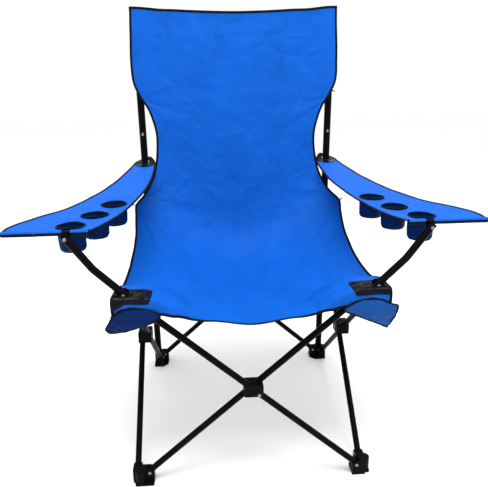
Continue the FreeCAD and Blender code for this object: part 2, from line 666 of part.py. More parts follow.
def corner_pocket():
    """Left front corner flap that hangs from the seat hem in front of the corner joint."""
    front = FLAP_Y
    top_z = TOP_PIN_HEIGHT - 12
    outline = [vec(-CORNER - 46, front, top_z - 0.55 * POCKET_DROP), vec(-CORNER - 10, front, top_z),
               vec(-CORNER + 75, front, top_z), vec(-CORNER + 128, front, top_z - 0.6 * POCKET_DROP),
               vec(-CORNER + 40, front, top_z - 0.95 * POCKET_DROP), vec(-CORNER - 32, front, top_z - POCKET_DROP)]
    return prism(outline, vec(0, -CLOTH, 0))


# ---- all pieces, saved by name ----
os.makedirs("parts", exist_ok=True)

for turns, side_name in enumerate(SIDE_NAMES):
    for outer, which in ((True, "outer"), (False, "inner")):
        save(quarter_turned(leg(outer), turns), side_name + "_leg_" + which)
        save(quarter_turned(hub_half(outer), turns), side_name + "_hub_" + which)
    save(quarter_turned(hub_rivets(), turns), side_name + "_hub_rivets")

for corner, corner_name in enumerate(CORNER_NAMES):
    is_rear = corner >= 2
    side_name = corner_name.split("_")[1]
    save(at_corner(foot(is_rear), corner), "foot_" + corner_name)
    save(at_corner(Part.makeCompound(ear_rivets(True)), corner), "foot_rivets_" + corner_name)
    if is_rear:
        save(at_corner(slider(), corner), "slider_" + side_name)
        save(at_corner(Part.makeCompound(ear_rivets(False)), corner), "slider_rivets_" + side_name)


for side, side_name in ((-1, "left"), (1, "right")):
    save(corner_joint(side), "corner_joint_" + side_name)
    save(corner_rivets(side), "corner_rivets_" + side_name)
    save(cup_pouches(side), "cup_pouches_" + side_name)
    save(cup_rims(side), "cup_rims_" + side_name)
    for piece, make in (("back_post", back_post), ("post_cap", post_cap), ("stop_rivet", stop_rivet)):
        shape = make()
        shape.translate(vec(side * CORNER, CORNER, 0))
        save(shape, piece + "_" + side_name)

LEFT_PIECES = {"arm_post": arm_post, "arm_bar": arm_bar, "arm_rivet": arm_rivet, "arm_sheet": arm_sheet,
               "corner_patch": corner_patch, "corner_pocket": corner_pocket}
for piece, make in LEFT_PIECES.items():
    shape = make()
    save(shape, piece + "_left")
    save(mirrored(shape), piece + "_right")

save(seat_panel(), "seat_panel")
save(back_panel(), "back_panel")
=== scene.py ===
"""Camp chair: cloth, bindings, cups, finishes, light and camera around the chair's frame."""

import json
import math

import bpy
from mathutils import Matrix, Vector, noise
from mathutils.geometry import delaunay_2d_cdt


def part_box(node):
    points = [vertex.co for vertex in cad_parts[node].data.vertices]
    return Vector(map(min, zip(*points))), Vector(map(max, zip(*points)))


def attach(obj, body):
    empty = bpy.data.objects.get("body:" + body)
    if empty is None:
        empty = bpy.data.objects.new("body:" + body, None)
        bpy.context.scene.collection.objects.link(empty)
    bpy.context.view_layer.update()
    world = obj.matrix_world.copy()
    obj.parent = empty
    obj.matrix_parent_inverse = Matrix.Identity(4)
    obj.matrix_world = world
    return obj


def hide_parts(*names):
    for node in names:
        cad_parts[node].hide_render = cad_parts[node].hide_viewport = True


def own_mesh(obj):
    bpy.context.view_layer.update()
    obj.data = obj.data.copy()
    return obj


bl_info = {
    "name": "Camp Chair",
    "version": (1, 0, 0),
    "blender": (4, 5, 0),
    "location": "3D View > Sidebar > Camp Chair",
    "description": "Builds the cloth and the finishes of a folding camp chair",
    "category": "Add Mesh",
}

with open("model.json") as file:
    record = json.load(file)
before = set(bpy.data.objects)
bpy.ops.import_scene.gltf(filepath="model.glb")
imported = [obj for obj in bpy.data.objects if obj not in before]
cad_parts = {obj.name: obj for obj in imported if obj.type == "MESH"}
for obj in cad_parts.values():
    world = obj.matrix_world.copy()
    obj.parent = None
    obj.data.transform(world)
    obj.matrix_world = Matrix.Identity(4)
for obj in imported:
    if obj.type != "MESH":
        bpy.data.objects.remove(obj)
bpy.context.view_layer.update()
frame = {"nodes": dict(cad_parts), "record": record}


# ---- places read from the frame ----

def middle_of(node):
    low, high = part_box(node)
    return (low + high) / 2


LEFT_POST = middle_of("back_post_left")
CORNER = -LEFT_POST.x
POST_R = (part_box("back_post_left")[1].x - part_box("back_post_left")[0].x) / 2
SLING_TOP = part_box("post_cap_left")[1].z + 0.004
ROOF_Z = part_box("corner_patch_left")[0].z
FLAP_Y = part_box("corner_pocket_left")[1].y
BAR_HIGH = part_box("arm_bar_left")[1]
ARM_BAR_R = 0.007
BAR_Y = BAR_HIGH.y - ARM_BAR_R
BAR_Z = BAR_HIGH.z - ARM_BAR_R
ARM_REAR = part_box("arm_sheet_left")[1]
SIDES = (("left", -1), ("right", 1))
SMOOTH_ANGLE = math.radians(42)


class ChairSizes(bpy.types.PropertyGroup):
    """Sizes of the cloth and its sewing"""

    cloth: bpy.props.FloatProperty(
        name="Cloth", description="Thickness of the coated cloth", default=0.0014, unit="LENGTH")
    thread: bpy.props.FloatProperty(
        name="Thread", description="Pitch of the weave", default=0.0011, unit="LENGTH")
    tape: bpy.props.FloatProperty(
        name="Tape", description="Width of the edge binding that shows on the cloth", default=0.0075,
        unit="LENGTH")
    tape_depth: bpy.props.FloatProperty(
        name="Tape depth", description="Thickness of the folded edge binding", default=0.0036, unit="LENGTH")
    stitch: bpy.props.FloatProperty(
        name="Stitch", description="Length of one stitch", default=0.0042, unit="LENGTH")
    wrinkle: bpy.props.FloatProperty(
        name="Wrinkle", description="Depth of the folds that run from the sewn corners", default=0.0050,
        unit="LENGTH")
    cup_depth: bpy.props.FloatProperty(
        name="Cup depth", description="Depth of a hanging cup", default=0.088, unit="LENGTH")
    cup_radius: bpy.props.FloatProperty(
        name="Cup radius", description="Radius of a cup's mouth", default=0.0430, unit="LENGTH")
    vinyl: bpy.props.FloatProperty(
        name="Vinyl", description="Thickness of the vinyl reinforcements", default=0.0016, unit="LENGTH")


class ChairColours(bpy.types.PropertyGroup):
    """Colours of the chair"""

    cloth: bpy.props.FloatVectorProperty(
        name="Cloth", description="Face of the cloth", subtype="COLOR", size=3, default=(0.0025, 0.078, 0.40))
    reverse: bpy.props.FloatVectorProperty(
        name="Reverse", description="Coated reverse of the cloth and the pouches", subtype="COLOR", size=3,
        default=(0.002, 0.014, 0.075))
    tape: bpy.props.FloatVectorProperty(
        name="Tape", description="Edge binding", subtype="COLOR", size=3, default=(0.002, 0.0025, 0.004))
    tube: bpy.props.FloatVectorProperty(
        name="Tube", description="Powder coat of the tubes", subtype="COLOR", size=3,
        default=(0.0015, 0.0015, 0.0018))
    plastic: bpy.props.FloatVectorProperty(
        name="Plastic", description="Moulded joints", subtype="COLOR", size=3, default=(0.002, 0.002, 0.0022))
    vinyl: bpy.props.FloatVectorProperty(
        name="Vinyl", description="Glossy reinforcements", subtype="COLOR", size=3,
        default=(0.002, 0.002, 0.0025))
    steel: bpy.props.FloatVectorProperty(
        name="Steel", description="Rivets", subtype="COLOR", size=3, default=(0.24, 0.24, 0.25))
    floor: bpy.props.FloatVectorProperty(
        name="Floor", description="Pale floor", subtype="COLOR", size=3, default=(0.97, 0.97, 0.97))


# ---- small tools ----

def sizes():
    return bpy.context.scene.chair_sizes


def colours():
    return bpy.context.scene.chair_colours


def choose(piece):
    """Makes piece the only selected and the active object."""
    bpy.ops.object.select_all(action="DESELECT")
    piece.select_set(True)
    bpy.context.view_layer.objects.active = piece


def face_outwards(piece):
    """Turns every face of a closed piece outwards."""
    choose(piece)
    bpy.ops.object.mode_set(mode="EDIT")
    bpy.ops.mesh.select_all(action="SELECT")
    bpy.ops.mesh.normals_make_consistent(inside=False)
    bpy.ops.object.mode_set(mode="OBJECT")


def settle(piece, material, body):
    """Applies a piece's place, smooths it, and hangs it on its body."""
    choose(piece)
    bpy.ops.object.transform_apply(location=True, rotation=True, scale=True)
    bpy.ops.object.shade_smooth_by_angle(angle=SMOOTH_ANGLE)
    if not piece.data.materials:
        piece.data.materials.append(material)
    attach(piece, body)
    return piece


def built(name, points, faces, flat=None):
    """A new piece from points and faces; flat gives each point's place on the flat cloth."""
    mesh = bpy.data.meshes.new(name)
    mesh.from_pydata([tuple(point) for point in points], [], faces)
    mesh.validate()
    if flat:
        weave = mesh.uv_layers.new(name="Weave")
        for loop in mesh.loops:
            weave.data[loop.index].uv = flat[loop.vertex_index]
    piece = bpy.data.objects.new(name, mesh)
    bpy.context.scene.collection.objects.link(piece)
    return piece


def smooth_step(value):
    value = min(max(value, 0.0), 1.0)
    return value * value * (3 - 2 * value)


def between(before, start, end, after, part):
    """Point of a smooth line through four values, part of the way from start to end."""
    return tuple(
        s + 0.5 * part * (e - b + part * (2 * b - 5 * s + 4 * e - a + part * (3 * (s - e) + a - b)))
        for b, s, e, a in zip(before, start, end, after))


def smooth_line(points, steps):
    """A smooth line through the points, with this many steps from each to the next."""
    line = []
    for index in range(len(points) - 1):
        before = points[max(index - 1, 0)]
        after = points[min(index + 2, len(points) - 1)]
        count = steps[index] if isinstance(steps, (list, tuple)) else steps
        for step in range(count):
            line.append(between(before, points[index], points[index + 1], after, step / count))
    line.append(tuple(points[-1]))
    return line


def cloth_area(piece):
    """Half of a thin closed sheet's surface."""
    return sum(face.area for face in piece.data.polygons) / 2


def joined(name, parts):
    """Several point-and-face sets as one."""
    points, faces, flat = [], [], []
    for part_points, part_faces, part_flat in parts:
        start = len(points)
        points += part_points
        flat += part_flat
        faces += [tuple(start + index for index in face) for face in part_faces]
    return built(name, points, faces, flat)


# ---- materials ----

class Recipe:
    """A material's node tree, written from the shader backwards."""

    def __init__(self, name, colour, roughness, **shader):
        self.material = bpy.data.materials.new(name)
        self.material.use_nodes = True
        self.material.diffuse_color = (*colour, 1)
        self.tree = self.material.node_tree
        self.shader = self.tree.nodes["Principled BSDF"]
        self.shader.inputs["Base Color"].default_value = (*colour, 1)
        self.shader.inputs["Roughness"].default_value = roughness
        for socket, value in shader.items():
            self.shader.inputs[socket.replace("_", " ").title().replace("Ior", "IOR")].default_value = value
        self.place = self.node("ShaderNodeTexCoord")

    def node(self, kind, inputs=(), **settings):
        made = self.tree.nodes.new(kind)
        for key, value in settings.items():
            setattr(made, key, value)
        for socket, value in dict(inputs).items():
            if isinstance(value, bpy.types.NodeSocket):
                self.tree.links.new(value, made.inputs[socket])
            else:
                made.inputs[socket].default_value = value
        return made

    def where(self, kind, scale=(1, 1, 1), turn=(0, 0, 0)):
        mapping = self.node("ShaderNodeMapping", {"Vector": self.place.outputs[kind], "Scale": scale,
                                                  "Rotation": turn})
        return mapping.outputs["Vector"]

    def noise(self, where, scale, detail=4.0, roughness=0.55):
        found = self.node("ShaderNodeTexNoise", {"Vector": where, "Scale": scale, "Detail": detail,
                                                 "Roughness": roughness})
        return found.outputs["Fac"]

    def ridges(self, where):
        """Height of sharp, branching creases."""
        sockets = {"Vector": where, "Scale": 1.0, "Detail": 2.5, "Distortion": 0.6}
        found = self.node("ShaderNodeTexNoise", sockets,
                          noise_type="RIDGED_MULTIFRACTAL")
        return found.outputs["Fac"]

    def bands(self, where, pitch, direction, distortion=0.0):
        found = self.node("ShaderNodeTexWave", {"Vector": where, "Scale": math.pi / 10 / pitch,
                                                "Distortion": distortion, "Detail Scale": 2.0},
                          bands_direction=direction)
        return found.outputs["Fac"]

    def sums(self, operation, first, second):
        return self.node("ShaderNodeMath", {0: first, 1: second}, operation=operation).outputs[0]

    def ranged(self, value, low, high, to_low, to_high):
        found = self.node("ShaderNodeMapRange", {"Value": value, "From Min": low, "From Max": high,
                                                 "To Min": to_low, "To Max": to_high})
        return found.outputs["Result"]

    def shades(self, value, dark, light, low=0.3, high=0.7):
        ramp = self.node("ShaderNodeValToRGB", {"Fac": value})
        ramp.color_ramp.elements[0].position = low
        ramp.color_ramp.elements[1].position = high
        ramp.color_ramp.elements[0].color = (*dark, 1)
        ramp.color_ramp.elements[1].color = (*light, 1)
        return ramp.outputs["Color"]

    def bump(self, height, depth, strength=1.0, over=None):
        inputs = {"Height": height, "Distance": depth, "Strength": strength}
        if over is not None:
            inputs["Normal"] = over
        return self.node("ShaderNodeBump", inputs).outputs["Normal"]

    def use(self, **sockets):
        for socket, value in sockets.items():
            title = socket.replace("_", " ").title().replace("Ior", "IOR")
            self.tree.links.new(value, self.shader.inputs[title])
        return self.material


def scaled(colour, amount):
    return tuple(min(part * amount, 1.0) for part in colour)


def plain_weave(recipe, where, pitch):
    """Height of crossing threads, over and under by turns."""
    checks = recipe.node("ShaderNodeTexChecker", {"Vector": where, "Scale": 1 / pitch}).outputs["Fac"]
    warp = recipe.bands(where, pitch, "X")
    weft = recipe.bands(where, pitch, "Y")
    over = recipe.sums("MULTIPLY", warp, checks)
    under = recipe.sums("MULTIPLY", weft, recipe.sums("SUBTRACT", 1.0, checks))
    return recipe.sums("ADD", over, under)


def woven_cloth(name, colour, roughness, gloss):
    recipe = Recipe(name, colour, roughness, specular_ior_level=gloss)
    where = recipe.where("UV")
    cloudy = recipe.noise(recipe.where("UV", (9, 5, 1)), 1.0, 5.0)
    creased = recipe.noise(recipe.where("UV", (70, 26, 1), (0, 0, 0.5)), 1.0, 6.0, 0.62)
    slub = recipe.noise(recipe.where("UV", (900, 60, 1)), 1.0, 2.0)
    mixed = recipe.sums("ADD", recipe.sums("MULTIPLY", cloudy, 0.6), recipe.sums("MULTIPLY", slub, 0.4))
    base = recipe.shades(mixed, scaled(colour, 0.84), scaled(colour, 1.12))
    threads = plain_weave(recipe, where, sizes().thread)
    folded = recipe.ridges(recipe.where("UV", (15, 9, 1), (0, 0, 0.35)))
    packed = recipe.ridges(recipe.where("UV", (7, 20, 1), (0, 0, -0.2)))
    ridged = recipe.bump(recipe.sums("ADD", folded, recipe.sums("MULTIPLY", packed, 0.7)), 0.0035, 0.9)
    creases = recipe.bump(creased, 0.0022, 0.5, ridged)
    woven = recipe.bump(threads, sizes().thread * 0.22, 0.5, creases)
    rough = recipe.ranged(cloudy, 0.3, 0.7, roughness - 0.07, roughness + 0.08)
    return recipe.use(base_color=base, normal=woven, roughness=rough)


def tape_material():
    recipe = Recipe("binding_tape", colours().tape, 0.6, specular_ior_level=0.05)
    ribs = recipe.bands(recipe.where("UV"), 0.0014, "X")
    dust = recipe.noise(recipe.where("UV", (60, 60, 1)), 1.0)
    base = recipe.shades(dust, scaled(colours().tape, 0.8), scaled(colours().tape, 1.9))
    rough = recipe.ranged(dust, 0.3, 0.7, 0.48, 0.66)
    return recipe.use(base_color=base, normal=recipe.bump(ribs, 0.0003, 0.5), roughness=rough)


def tube_material():
    recipe = Recipe("black_powder_coat", colours().tube, 0.26, specular_ior_level=0.035)
    where = recipe.where("Object")
    peel = recipe.noise(where, 900.0, 2.0)
    rubbed = recipe.noise(recipe.where("Object", (14, 14, 14)), 1.0, 8.0, 0.7)
    base = recipe.shades(rubbed, scaled(colours().tube, 0.85), scaled(colours().tube, 2.0), 0.45, 0.78)
    rough = recipe.ranged(rubbed, 0.3, 0.75, 0.24, 0.42)
    return recipe.use(base_color=base, normal=recipe.bump(peel, 0.0002, 0.45), roughness=rough)


def plastic_material():
    recipe = Recipe("moulded_black_plastic", colours().plastic, 0.4, specular_ior_level=0.04)
    spark = recipe.noise(recipe.where("Object"), 1400.0, 3.0)
    scuffs = recipe.noise(recipe.where("Object", (30, 30, 80)), 1.0, 6.0, 0.65)
    base = recipe.shades(scuffs, scaled(colours().plastic, 0.85), scaled(colours().plastic, 2.2), 0.45, 0.8)
    rough = recipe.ranged(scuffs, 0.3, 0.75, 0.42, 0.62)
    return recipe.use(base_color=base, normal=recipe.bump(spark, 0.00025, 0.6), roughness=rough)


def steel_material():
    recipe = Recipe("rivet_steel", colours().steel, 0.28, metallic=1.0)
    brushed = recipe.noise(recipe.where("Object", (120, 900, 120)), 1.0, 4.0)
    base = recipe.shades(brushed, scaled(colours().steel, 0.75), scaled(colours().steel, 1.15))
    rough = recipe.ranged(brushed, 0.3, 0.7, 0.20, 0.40)
    return recipe.use(base_color=base, normal=recipe.bump(brushed, 0.00006, 0.4), roughness=rough)


def vinyl_material():
    recipe = Recipe("glossy_vinyl", colours().vinyl, 0.18, specular_ior_level=0.10)
    where = recipe.where("UV")
    cells = recipe.node("ShaderNodeTexVoronoi", {"Vector": where, "Scale": 520.0}).outputs["Distance"]
    buckle = recipe.noise(recipe.where("UV", (38, 60, 1)), 1.0, 3.0)
    base = recipe.shades(buckle, scaled(colours().vinyl, 0.8), scaled(colours().vinyl, 1.8))
    uneven = recipe.bump(buckle, 0.004, 0.55)
    rough = recipe.ranged(buckle, 0.3, 0.7, 0.18, 0.34)
    return recipe.use(base_color=base, normal=recipe.bump(cells, 0.00025, 0.35, uneven), roughness=rough)


def floor_material():
    recipe = Recipe("pale_floor", colours().floor, 0.7, specular_ior_level=0.2)
    grain = recipe.noise(recipe.where("Object", (3, 3, 3)), 1.0)
    base = recipe.shades(grain, scaled(colours().floor, 0.985), colours().floor)
    return recipe.use(base_color=base)


FINISHES = {
    "seat_cloth": lambda: woven_cloth("blue_polyester", colours().cloth, 0.56, 0.06),
    "pocket_cloth": lambda: woven_cloth("navy_coated_cloth", colours().reverse, 0.46, 0.03),
    "edge_binding": tape_material,
    "frame_tube": tube_material,
    "joint_plastic": plastic_material,
    "rivet_steel": steel_material,
    "corner_vinyl": vinyl_material,
}
made_finishes = {}


def finish_of(slot):
    if slot not in made_finishes:
        made_finishes[slot] = FINISHES[slot]()
    return made_finishes[slot]


# ---- thin sheets ----

def grid_normals(grid):
    """Unit normals of a grid of points, towards the face side."""
    rows, columns = len(grid), len(grid[0])
    normals = []
    for row in range(rows):
        line = []
        for column in range(columns):
            over = grid[row][min(column + 1, columns - 1)] - grid[row][max(column - 1, 0)]
            along = grid[min(row + 1, rows - 1)][column] - grid[max(row - 1, 0)][column]
            line.append(over.cross(along).normalized())
        normals.append(line)
    return normals


def grid_sheet(name, grid, normals, flat, thickness, left_out=None):
    """A closed thin sheet over a grid of points, with its own face and reverse materials."""
    rows, columns = len(grid), len(grid[0])
    count = rows * columns
    points = [p for line in grid for p in line]
    points += [grid[r][c] - normals[r][c] * thickness for r in range(rows) for c in range(columns)]
    uses = {}
    face_side = []
    for row in range(rows - 1):
        for column in range(columns - 1):
            if left_out and left_out(grid[row][column], grid[row + 1][column + 1]):
                continue
            a = row * columns + column
            quad = (a, a + 1, a + columns + 1, a + columns)
            face_side.append(quad)
            for start, end in zip(quad, quad[1:] + quad[:1]):
                uses[(start, end)] = True
    rims = [(end, start, start + count, end + count) for start, end in uses if (end, start) not in uses]
    reverse = [tuple(count + index for index in reversed(quad)) for quad in face_side]
    piece = built(name, points, face_side + reverse + rims, [spot for line in flat for spot in line] * 2)
    directions = [n for line in normals for n in line]
    directions += [-n for n in directions]
    return piece, len(face_side), directions


def tidy_sheet(piece, face_count, directions):
    """Drops unused points, paints the reverse, and keeps smooth normals up to the sheet's ends."""
    mesh = piece.data
    mesh.materials.append(finish_of("seat_cloth"))
    mesh.materials.append(finish_of("pocket_cloth"))
    for polygon in mesh.polygons:
        polygon.material_index = 1 if face_count <= polygon.index < 2 * face_count else 0
        polygon.use_smooth = True
    mesh.normals_split_custom_set_from_vertices(directions)
    choose(piece)
    bpy.ops.object.mode_set(mode="EDIT")
    bpy.ops.mesh.select_all(action="SELECT")
    bpy.ops.mesh.delete_loose()
    bpy.ops.object.mode_set(mode="OBJECT")


def inside(point, loop):
    """Whether a flat point lies in a closed loop."""
    found = False
    for index, (x, y) in enumerate(loop):
        px, py = loop[index - 1]
        if (y > point[1]) != (py > point[1]) and point[0] < (px - x) * (point[1] - y) / (py - y) + x:
            found = not found
    return found


def net(outline, holes, spacing):
    """Flat points and triangles that fill an outline and leave its holes open."""
    loops = [outline] + list(holes)
    spots = [Vector(spot) for loop in loops for spot in loop]
    edges, start = [], 0
    for loop in loops:
        edges += [(start + index, start + (index + 1) % len(loop)) for index in range(len(loop))]
        start += len(loop)
    rim = len(spots)
    low = Vector((min(spot[0] for spot in outline), min(spot[1] for spot in outline)))
    high = Vector((max(spot[0] for spot in outline), max(spot[1] for spot in outline)))
    rows = int((high.y - low.y) / (spacing * 0.87)) + 1
    for row in range(rows):
        shift = spacing / 2 if row % 2 else 0.0
        for column in range(int((high.x - low.x) / spacing) + 2):
            spot = Vector((low.x + column * spacing + shift, low.y + row * spacing * 0.87))
            if not inside(spot, outline) or any(inside(spot, hole) for hole in holes):
                continue
            if min((spot - other).length_squared for other in spots[:rim]) > (0.55 * spacing) ** 2:
                spots.append(spot)
    flat, _, triangles, *_ = delaunay_2d_cdt(spots, edges, [], 0, 1e-7)
    kept = []
    for triangle in triangles:
        centre = sum((flat[index] for index in triangle), Vector((0, 0))) / 3
        if inside(centre, outline) and not any(inside(centre, hole) for hole in holes):
            a, b, c = (flat[index] for index in triangle)
            turn = (b - a).cross(c - a)
            kept.append(tuple(triangle) if turn > 0 else tuple(reversed(triangle)))
    return [Vector(spot) for spot in flat], kept


def cut_sheet(outline, holes, spacing, place, thickness, flip=False):
    """Points, faces and flat places of a thin closed sheet cut to an outline; place bends it to shape."""
    flat, triangles = net(outline, holes, spacing)
    step = 0.001
    top, under = [], []
    for spot in flat:
        here = place(spot.x, spot.y)
        over = place(spot.x + step, spot.y) - place(spot.x - step, spot.y)
        along = place(spot.x, spot.y + step) - place(spot.x, spot.y - step)
        normal = over.cross(along).normalized() * (-1 if flip else 1)
        top.append(here)
        under.append(here - normal * thickness)
    if flip:
        triangles = [tuple(reversed(triangle)) for triangle in triangles]
    count = len(flat)
    uses = {(start, end) for tri in triangles for start, end in zip(tri, tri[1:] + tri[:1])}
    rims = [(end, start, start + count, end + count)
            for start, end in sorted(uses) if (end, start) not in uses]
    reverse = [tuple(count + index for index in reversed(tri)) for tri in triangles]
    spots = [(spot.x, spot.y) for spot in flat] * 2
    return top + under, triangles + reverse + rims, spots, len(triangles)


def paint_reverse(piece, face_count, face_slot="seat_cloth", reverse_slot="pocket_cloth"):
    piece.data.materials.append(finish_of(face_slot))
    piece.data.materials.append(finish_of(reverse_slot))
    for polygon in piece.data.polygons:
        polygon.material_index = 1 if face_count <= polygon.index < 2 * face_count else 0


def folded_tape(line, inwards, normals, closed=False, width=None, depth=None):
    """A tape folded over an edge: its line, the way to the cloth's inside, and the cloth's normals."""
    width = width or sizes().tape
    depth = (depth or sizes().tape_depth) / 2
    proud = depth * 0.9
    outline = [(width, depth * 0.55), (width * 0.86, depth * 0.95), (width * 0.3, depth * 1.0),
               (0, depth * 0.92), (-proud * 0.7, depth * 0.55), (-proud, 0),
               (-proud * 0.7, -depth * 0.55), (0, -depth * 0.92),
               (width * 0.3, -depth * 1.0), (width * 0.86, -depth * 0.95), (width, -depth * 0.55)]
    points, flat, faces = [], [], []
    around = len(outline)
    run = 0.0
    last = len(line) - 1
    for index, point in enumerate(line):
        before = line[index - 1] if closed or index else line[0]
        after = line[(index + 1) % len(line)] if closed or index < last else line[last]
        tangent = (after - before).normalized()
        normal = (normals[index] - tangent * normals[index].dot(tangent)).normalized()
        inward = inwards[index] - tangent * inwards[index].dot(tangent)
        inward = (inward - normal * inward.dot(normal)).normalized()
        run += (point - line[index - 1]).length if index else 0.0
        for number, (into, over) in enumerate(outline):
            points.append(point + inward * into + normal * over)
            flat.append((run, number * width / around))
    rings = len(line)
    spans = rings if closed else rings - 1
    for ring in range(spans):
        here, there = ring * around, ((ring + 1) % rings) * around
        for number in range(around):
            onward = (number + 1) % around
            faces.append((here + number, there + number, there + onward, here + onward))
    if not closed:
        faces.append(tuple(range(around)))
        faces.append(tuple(reversed(range(last * around, last * around + around))))
    return points, faces, flat


def tape_piece(name, parts, body):
    piece = joined(name, parts)
    face_outwards(piece)
    return settle(piece, finish_of("edge_binding"), body)


def stitch_row(line, normals, lift):
    """Small rounded stitches that lie along a line on the cloth."""
    points, faces = [], []
    length = sizes().stitch
    gap = length * 0.45
    wide = 0.0005
    run, at_next = 0.0, 0.0
    for index in range(len(line) - 1):
        step = line[index + 1] - line[index]
        while step.length > 1e-9 and at_next <= run + step.length:
            way = step.normalized()
            centre = line[index] + way * (at_next - run) + normals[index] * lift
            side = way.cross(normals[index]).normalized()
            start = len(points)
            for along, half in ((-length / 2, 0.3), (-length / 4, 1.0), (length / 4, 1.0), (length / 2, 0.3)):
                for corner in ((1, 0), (0, 1), (-1, 0), (0, -1)):
                    points.append(centre + way * along + side * corner[0] * wide * half
                                  + normals[index] * corner[1] * wide * half)
            for ring in range(3):
                for number in range(4):
                    a = start + ring * 4 + number
                    b = start + ring * 4 + (number + 1) % 4
                    faces.append((a, b, b + 4, a + 4))
            faces.append((start + 3, start + 2, start + 1, start))
            faces.append((start + 12, start + 13, start + 14, start + 15))
            at_next += length + gap
        run += step.length
    return points, faces, [(0.0, 0.0)] * len(points)


# ---- the sling: seat and back in one sheet, sewn from three panels ----

# left edge x, y, z, centre y, z, and rows to the next station, from the front hem to the top
SLING = [
    (0.4400, -0.4385, 0.694, -0.4340, 0.628, 3),
    (0.4410, -0.4390, 0.716, -0.4200, 0.627, 3),
    (0.4400, -0.4330, 0.731, -0.4000, 0.624, 3),
    (0.4380, -0.4120, 0.7355, -0.3750, 0.621, 6),
    (0.4340, -0.3550, 0.733, -0.3300, 0.615, 8),
    (0.4300, -0.2700, 0.709, -0.2500, 0.603, 12),
    (0.4280, -0.1500, 0.706, -0.1200, 0.590, 14),
    (0.4280, -0.0100, 0.723, 0.0200, 0.583, 14),
    (0.4300, 0.1200, 0.760, 0.1400, 0.588, 12),
    (0.4360, 0.2150, 0.815, 0.2350, 0.612, 8),
    (0.4380, 0.2620, 0.850, 0.3000, 0.655, 8),
    (0.4080, 0.3150, 0.880, 0.3380, 0.715, 8),
    (0.3830, 0.3450, 0.918, 0.3570, 0.790, 8),
    (0.3610, 0.3660, 0.972, 0.3670, 0.880, 9),
    (0.3460, 0.3760, 1.050, 0.3720, 0.980, 10),
    (0.3450, 0.3790, 1.140, 0.3750, 1.080, 10),
    (0.3680, 0.3810, 1.225, 0.3770, 1.180, 9),
    (0.4040, 0.3830, 1.285, 0.3790, 1.260, 7),
    (0.4280, 0.3840, 1.345, 0.3800, 1.330, 9),
    (0.4300, 0.3850, 1.430, 0.3810, 1.420, 10),
    (0.4240, 0.3850, 1.530, 0.3820, 1.515, 10),
    (0.4200, 0.3850, 1.631, 0.3830, 1.612, 0),
]
SEAT_SPLIT = 7             # station where the front seat panel meets the rear one
BACK_SPLIT = 10            # station where the seat meets the back
SLING_COLUMNS = 144
PANELS = (("seat_front", 0, SEAT_SPLIT, "left_inner_leg"),
          ("seat_rear", SEAT_SPLIT, BACK_SPLIT, "left_outer_leg"),
          ("sling_back", BACK_SPLIT, len(SLING) - 1, "rear_left_post"))
ARM_GAP_X = 0.0240         # half width of the opening round the arm post's joint
ARM_GAP_Y = 0.0195
sling = {}


def row_of(station):
    return sum(row[5] for row in SLING[:station])


def corner_support(x, y):
    """Height at which the cloth lies over a front corner joint, falling away from it."""
    reach_x = max(0.350 - abs(x), 0.0)
    reach_y = max(y + 0.350, 0.0)
    away = math.hypot(reach_x, reach_y)
    return ROOF_Z + 0.0062 - 0.10 * away - 3.0 * away * away


def lifted(x, y, z):
    """The sheet's height once the corner joints hold it up."""
    held = corner_support(x, y)
    inside_front = smooth_step((y + 0.4375) / 0.006)
    raised = (z + held + math.sqrt((z - held) ** 2 + 0.004 ** 2)) / 2
    return z + (raised - z) * inside_front


# height of the front hem by its share of the way from the middle to the edge
HEM = [(0.0, 0.628), (0.33, 0.646), (0.56, 0.661), (0.67, 0.674), (0.76, 0.692), (0.86, 0.700),
       (0.93, 0.695), (0.98, 0.681), (1.0, 0.672)]


def hem_height(far):
    for (start, low), (end, high) in zip(HEM, HEM[1:]):
        if far <= end:
            return low + (high - low) * smooth_step((far - start) / (end - start))
    return HEM[-1][1]


def sling_rest_point(across, row):
    edge_x, edge_y, edge_z, centre_y, centre_z = row
    far = abs(across)
    front = smooth_step((-0.20 - edge_y) / 0.20)
    reach = front * smooth_step(far) ** 1.5 + (1 - front) * far ** 1.6
    x = across * (edge_x + 0.0022 * noise.noise(Vector((math.copysign(3, across), edge_y * 9, edge_z * 11))))
    edge_z += 0.0035 * noise.noise(Vector((across * 5, 8, 0))) * smooth_step((edge_z - 1.5) / 0.1)
    y = centre_y + (edge_y - centre_y) * reach
    z = centre_z + (edge_z - centre_z) * reach
    if edge_y < -0.40:
        at_hem = smooth_step((SLING[3][2] - edge_z) / (SLING[3][2] - SLING[0][2]))
        z += (hem_height(far) - SLING[0][4] - (SLING[0][2] - SLING[0][4]) * reach) * at_hem
    return Vector((x, y, lifted(x, y, z)))


def fan_folds(x, run, corner, reach, count, turn):
    """Folds that spread from a held corner and fade with distance."""
    over, along = x - corner[0], run - corner[1]
    away = math.hypot(over, along)
    angle = math.atan2(along, over)
    wander = noise.noise(Vector((x * 5 + turn, run * 5, turn)))
    broad = math.sin(angle * count + turn + 2.2 * wander)
    sharp = -1.6 * math.exp(-5.0 * abs(math.sin(angle * count * 0.8 + turn * 3 + 3.0 * wander)))
    length = 0.6 + 0.8 * noise.noise(Vector((angle * 3 + turn, 2.0, turn)))
    near = smooth_step(away / (0.25 * reach))
    return (0.55 * broad + sharp * length) * near * math.exp(-away / reach)


def crumple(x, run):
    """Sharp creases of cloth that has been packed away: narrow valleys between flatter facets."""
    bent = noise.noise(Vector((x * 4, run * 4, 20))) * 0.35
    depth = 0.0
    for scale, share, seed in ((5.0, 0.40, 0.0), (10.0, 0.36, 7.0), (19.0, 0.24, 13.0), (34.0, 0.14, 23.0)):
        spot = Vector((x * scale + bent, run * scale * 0.8 - bent * 2, seed))
        depth -= share * math.exp(-abs(noise.noise(spot)) * 11.0)
    return depth


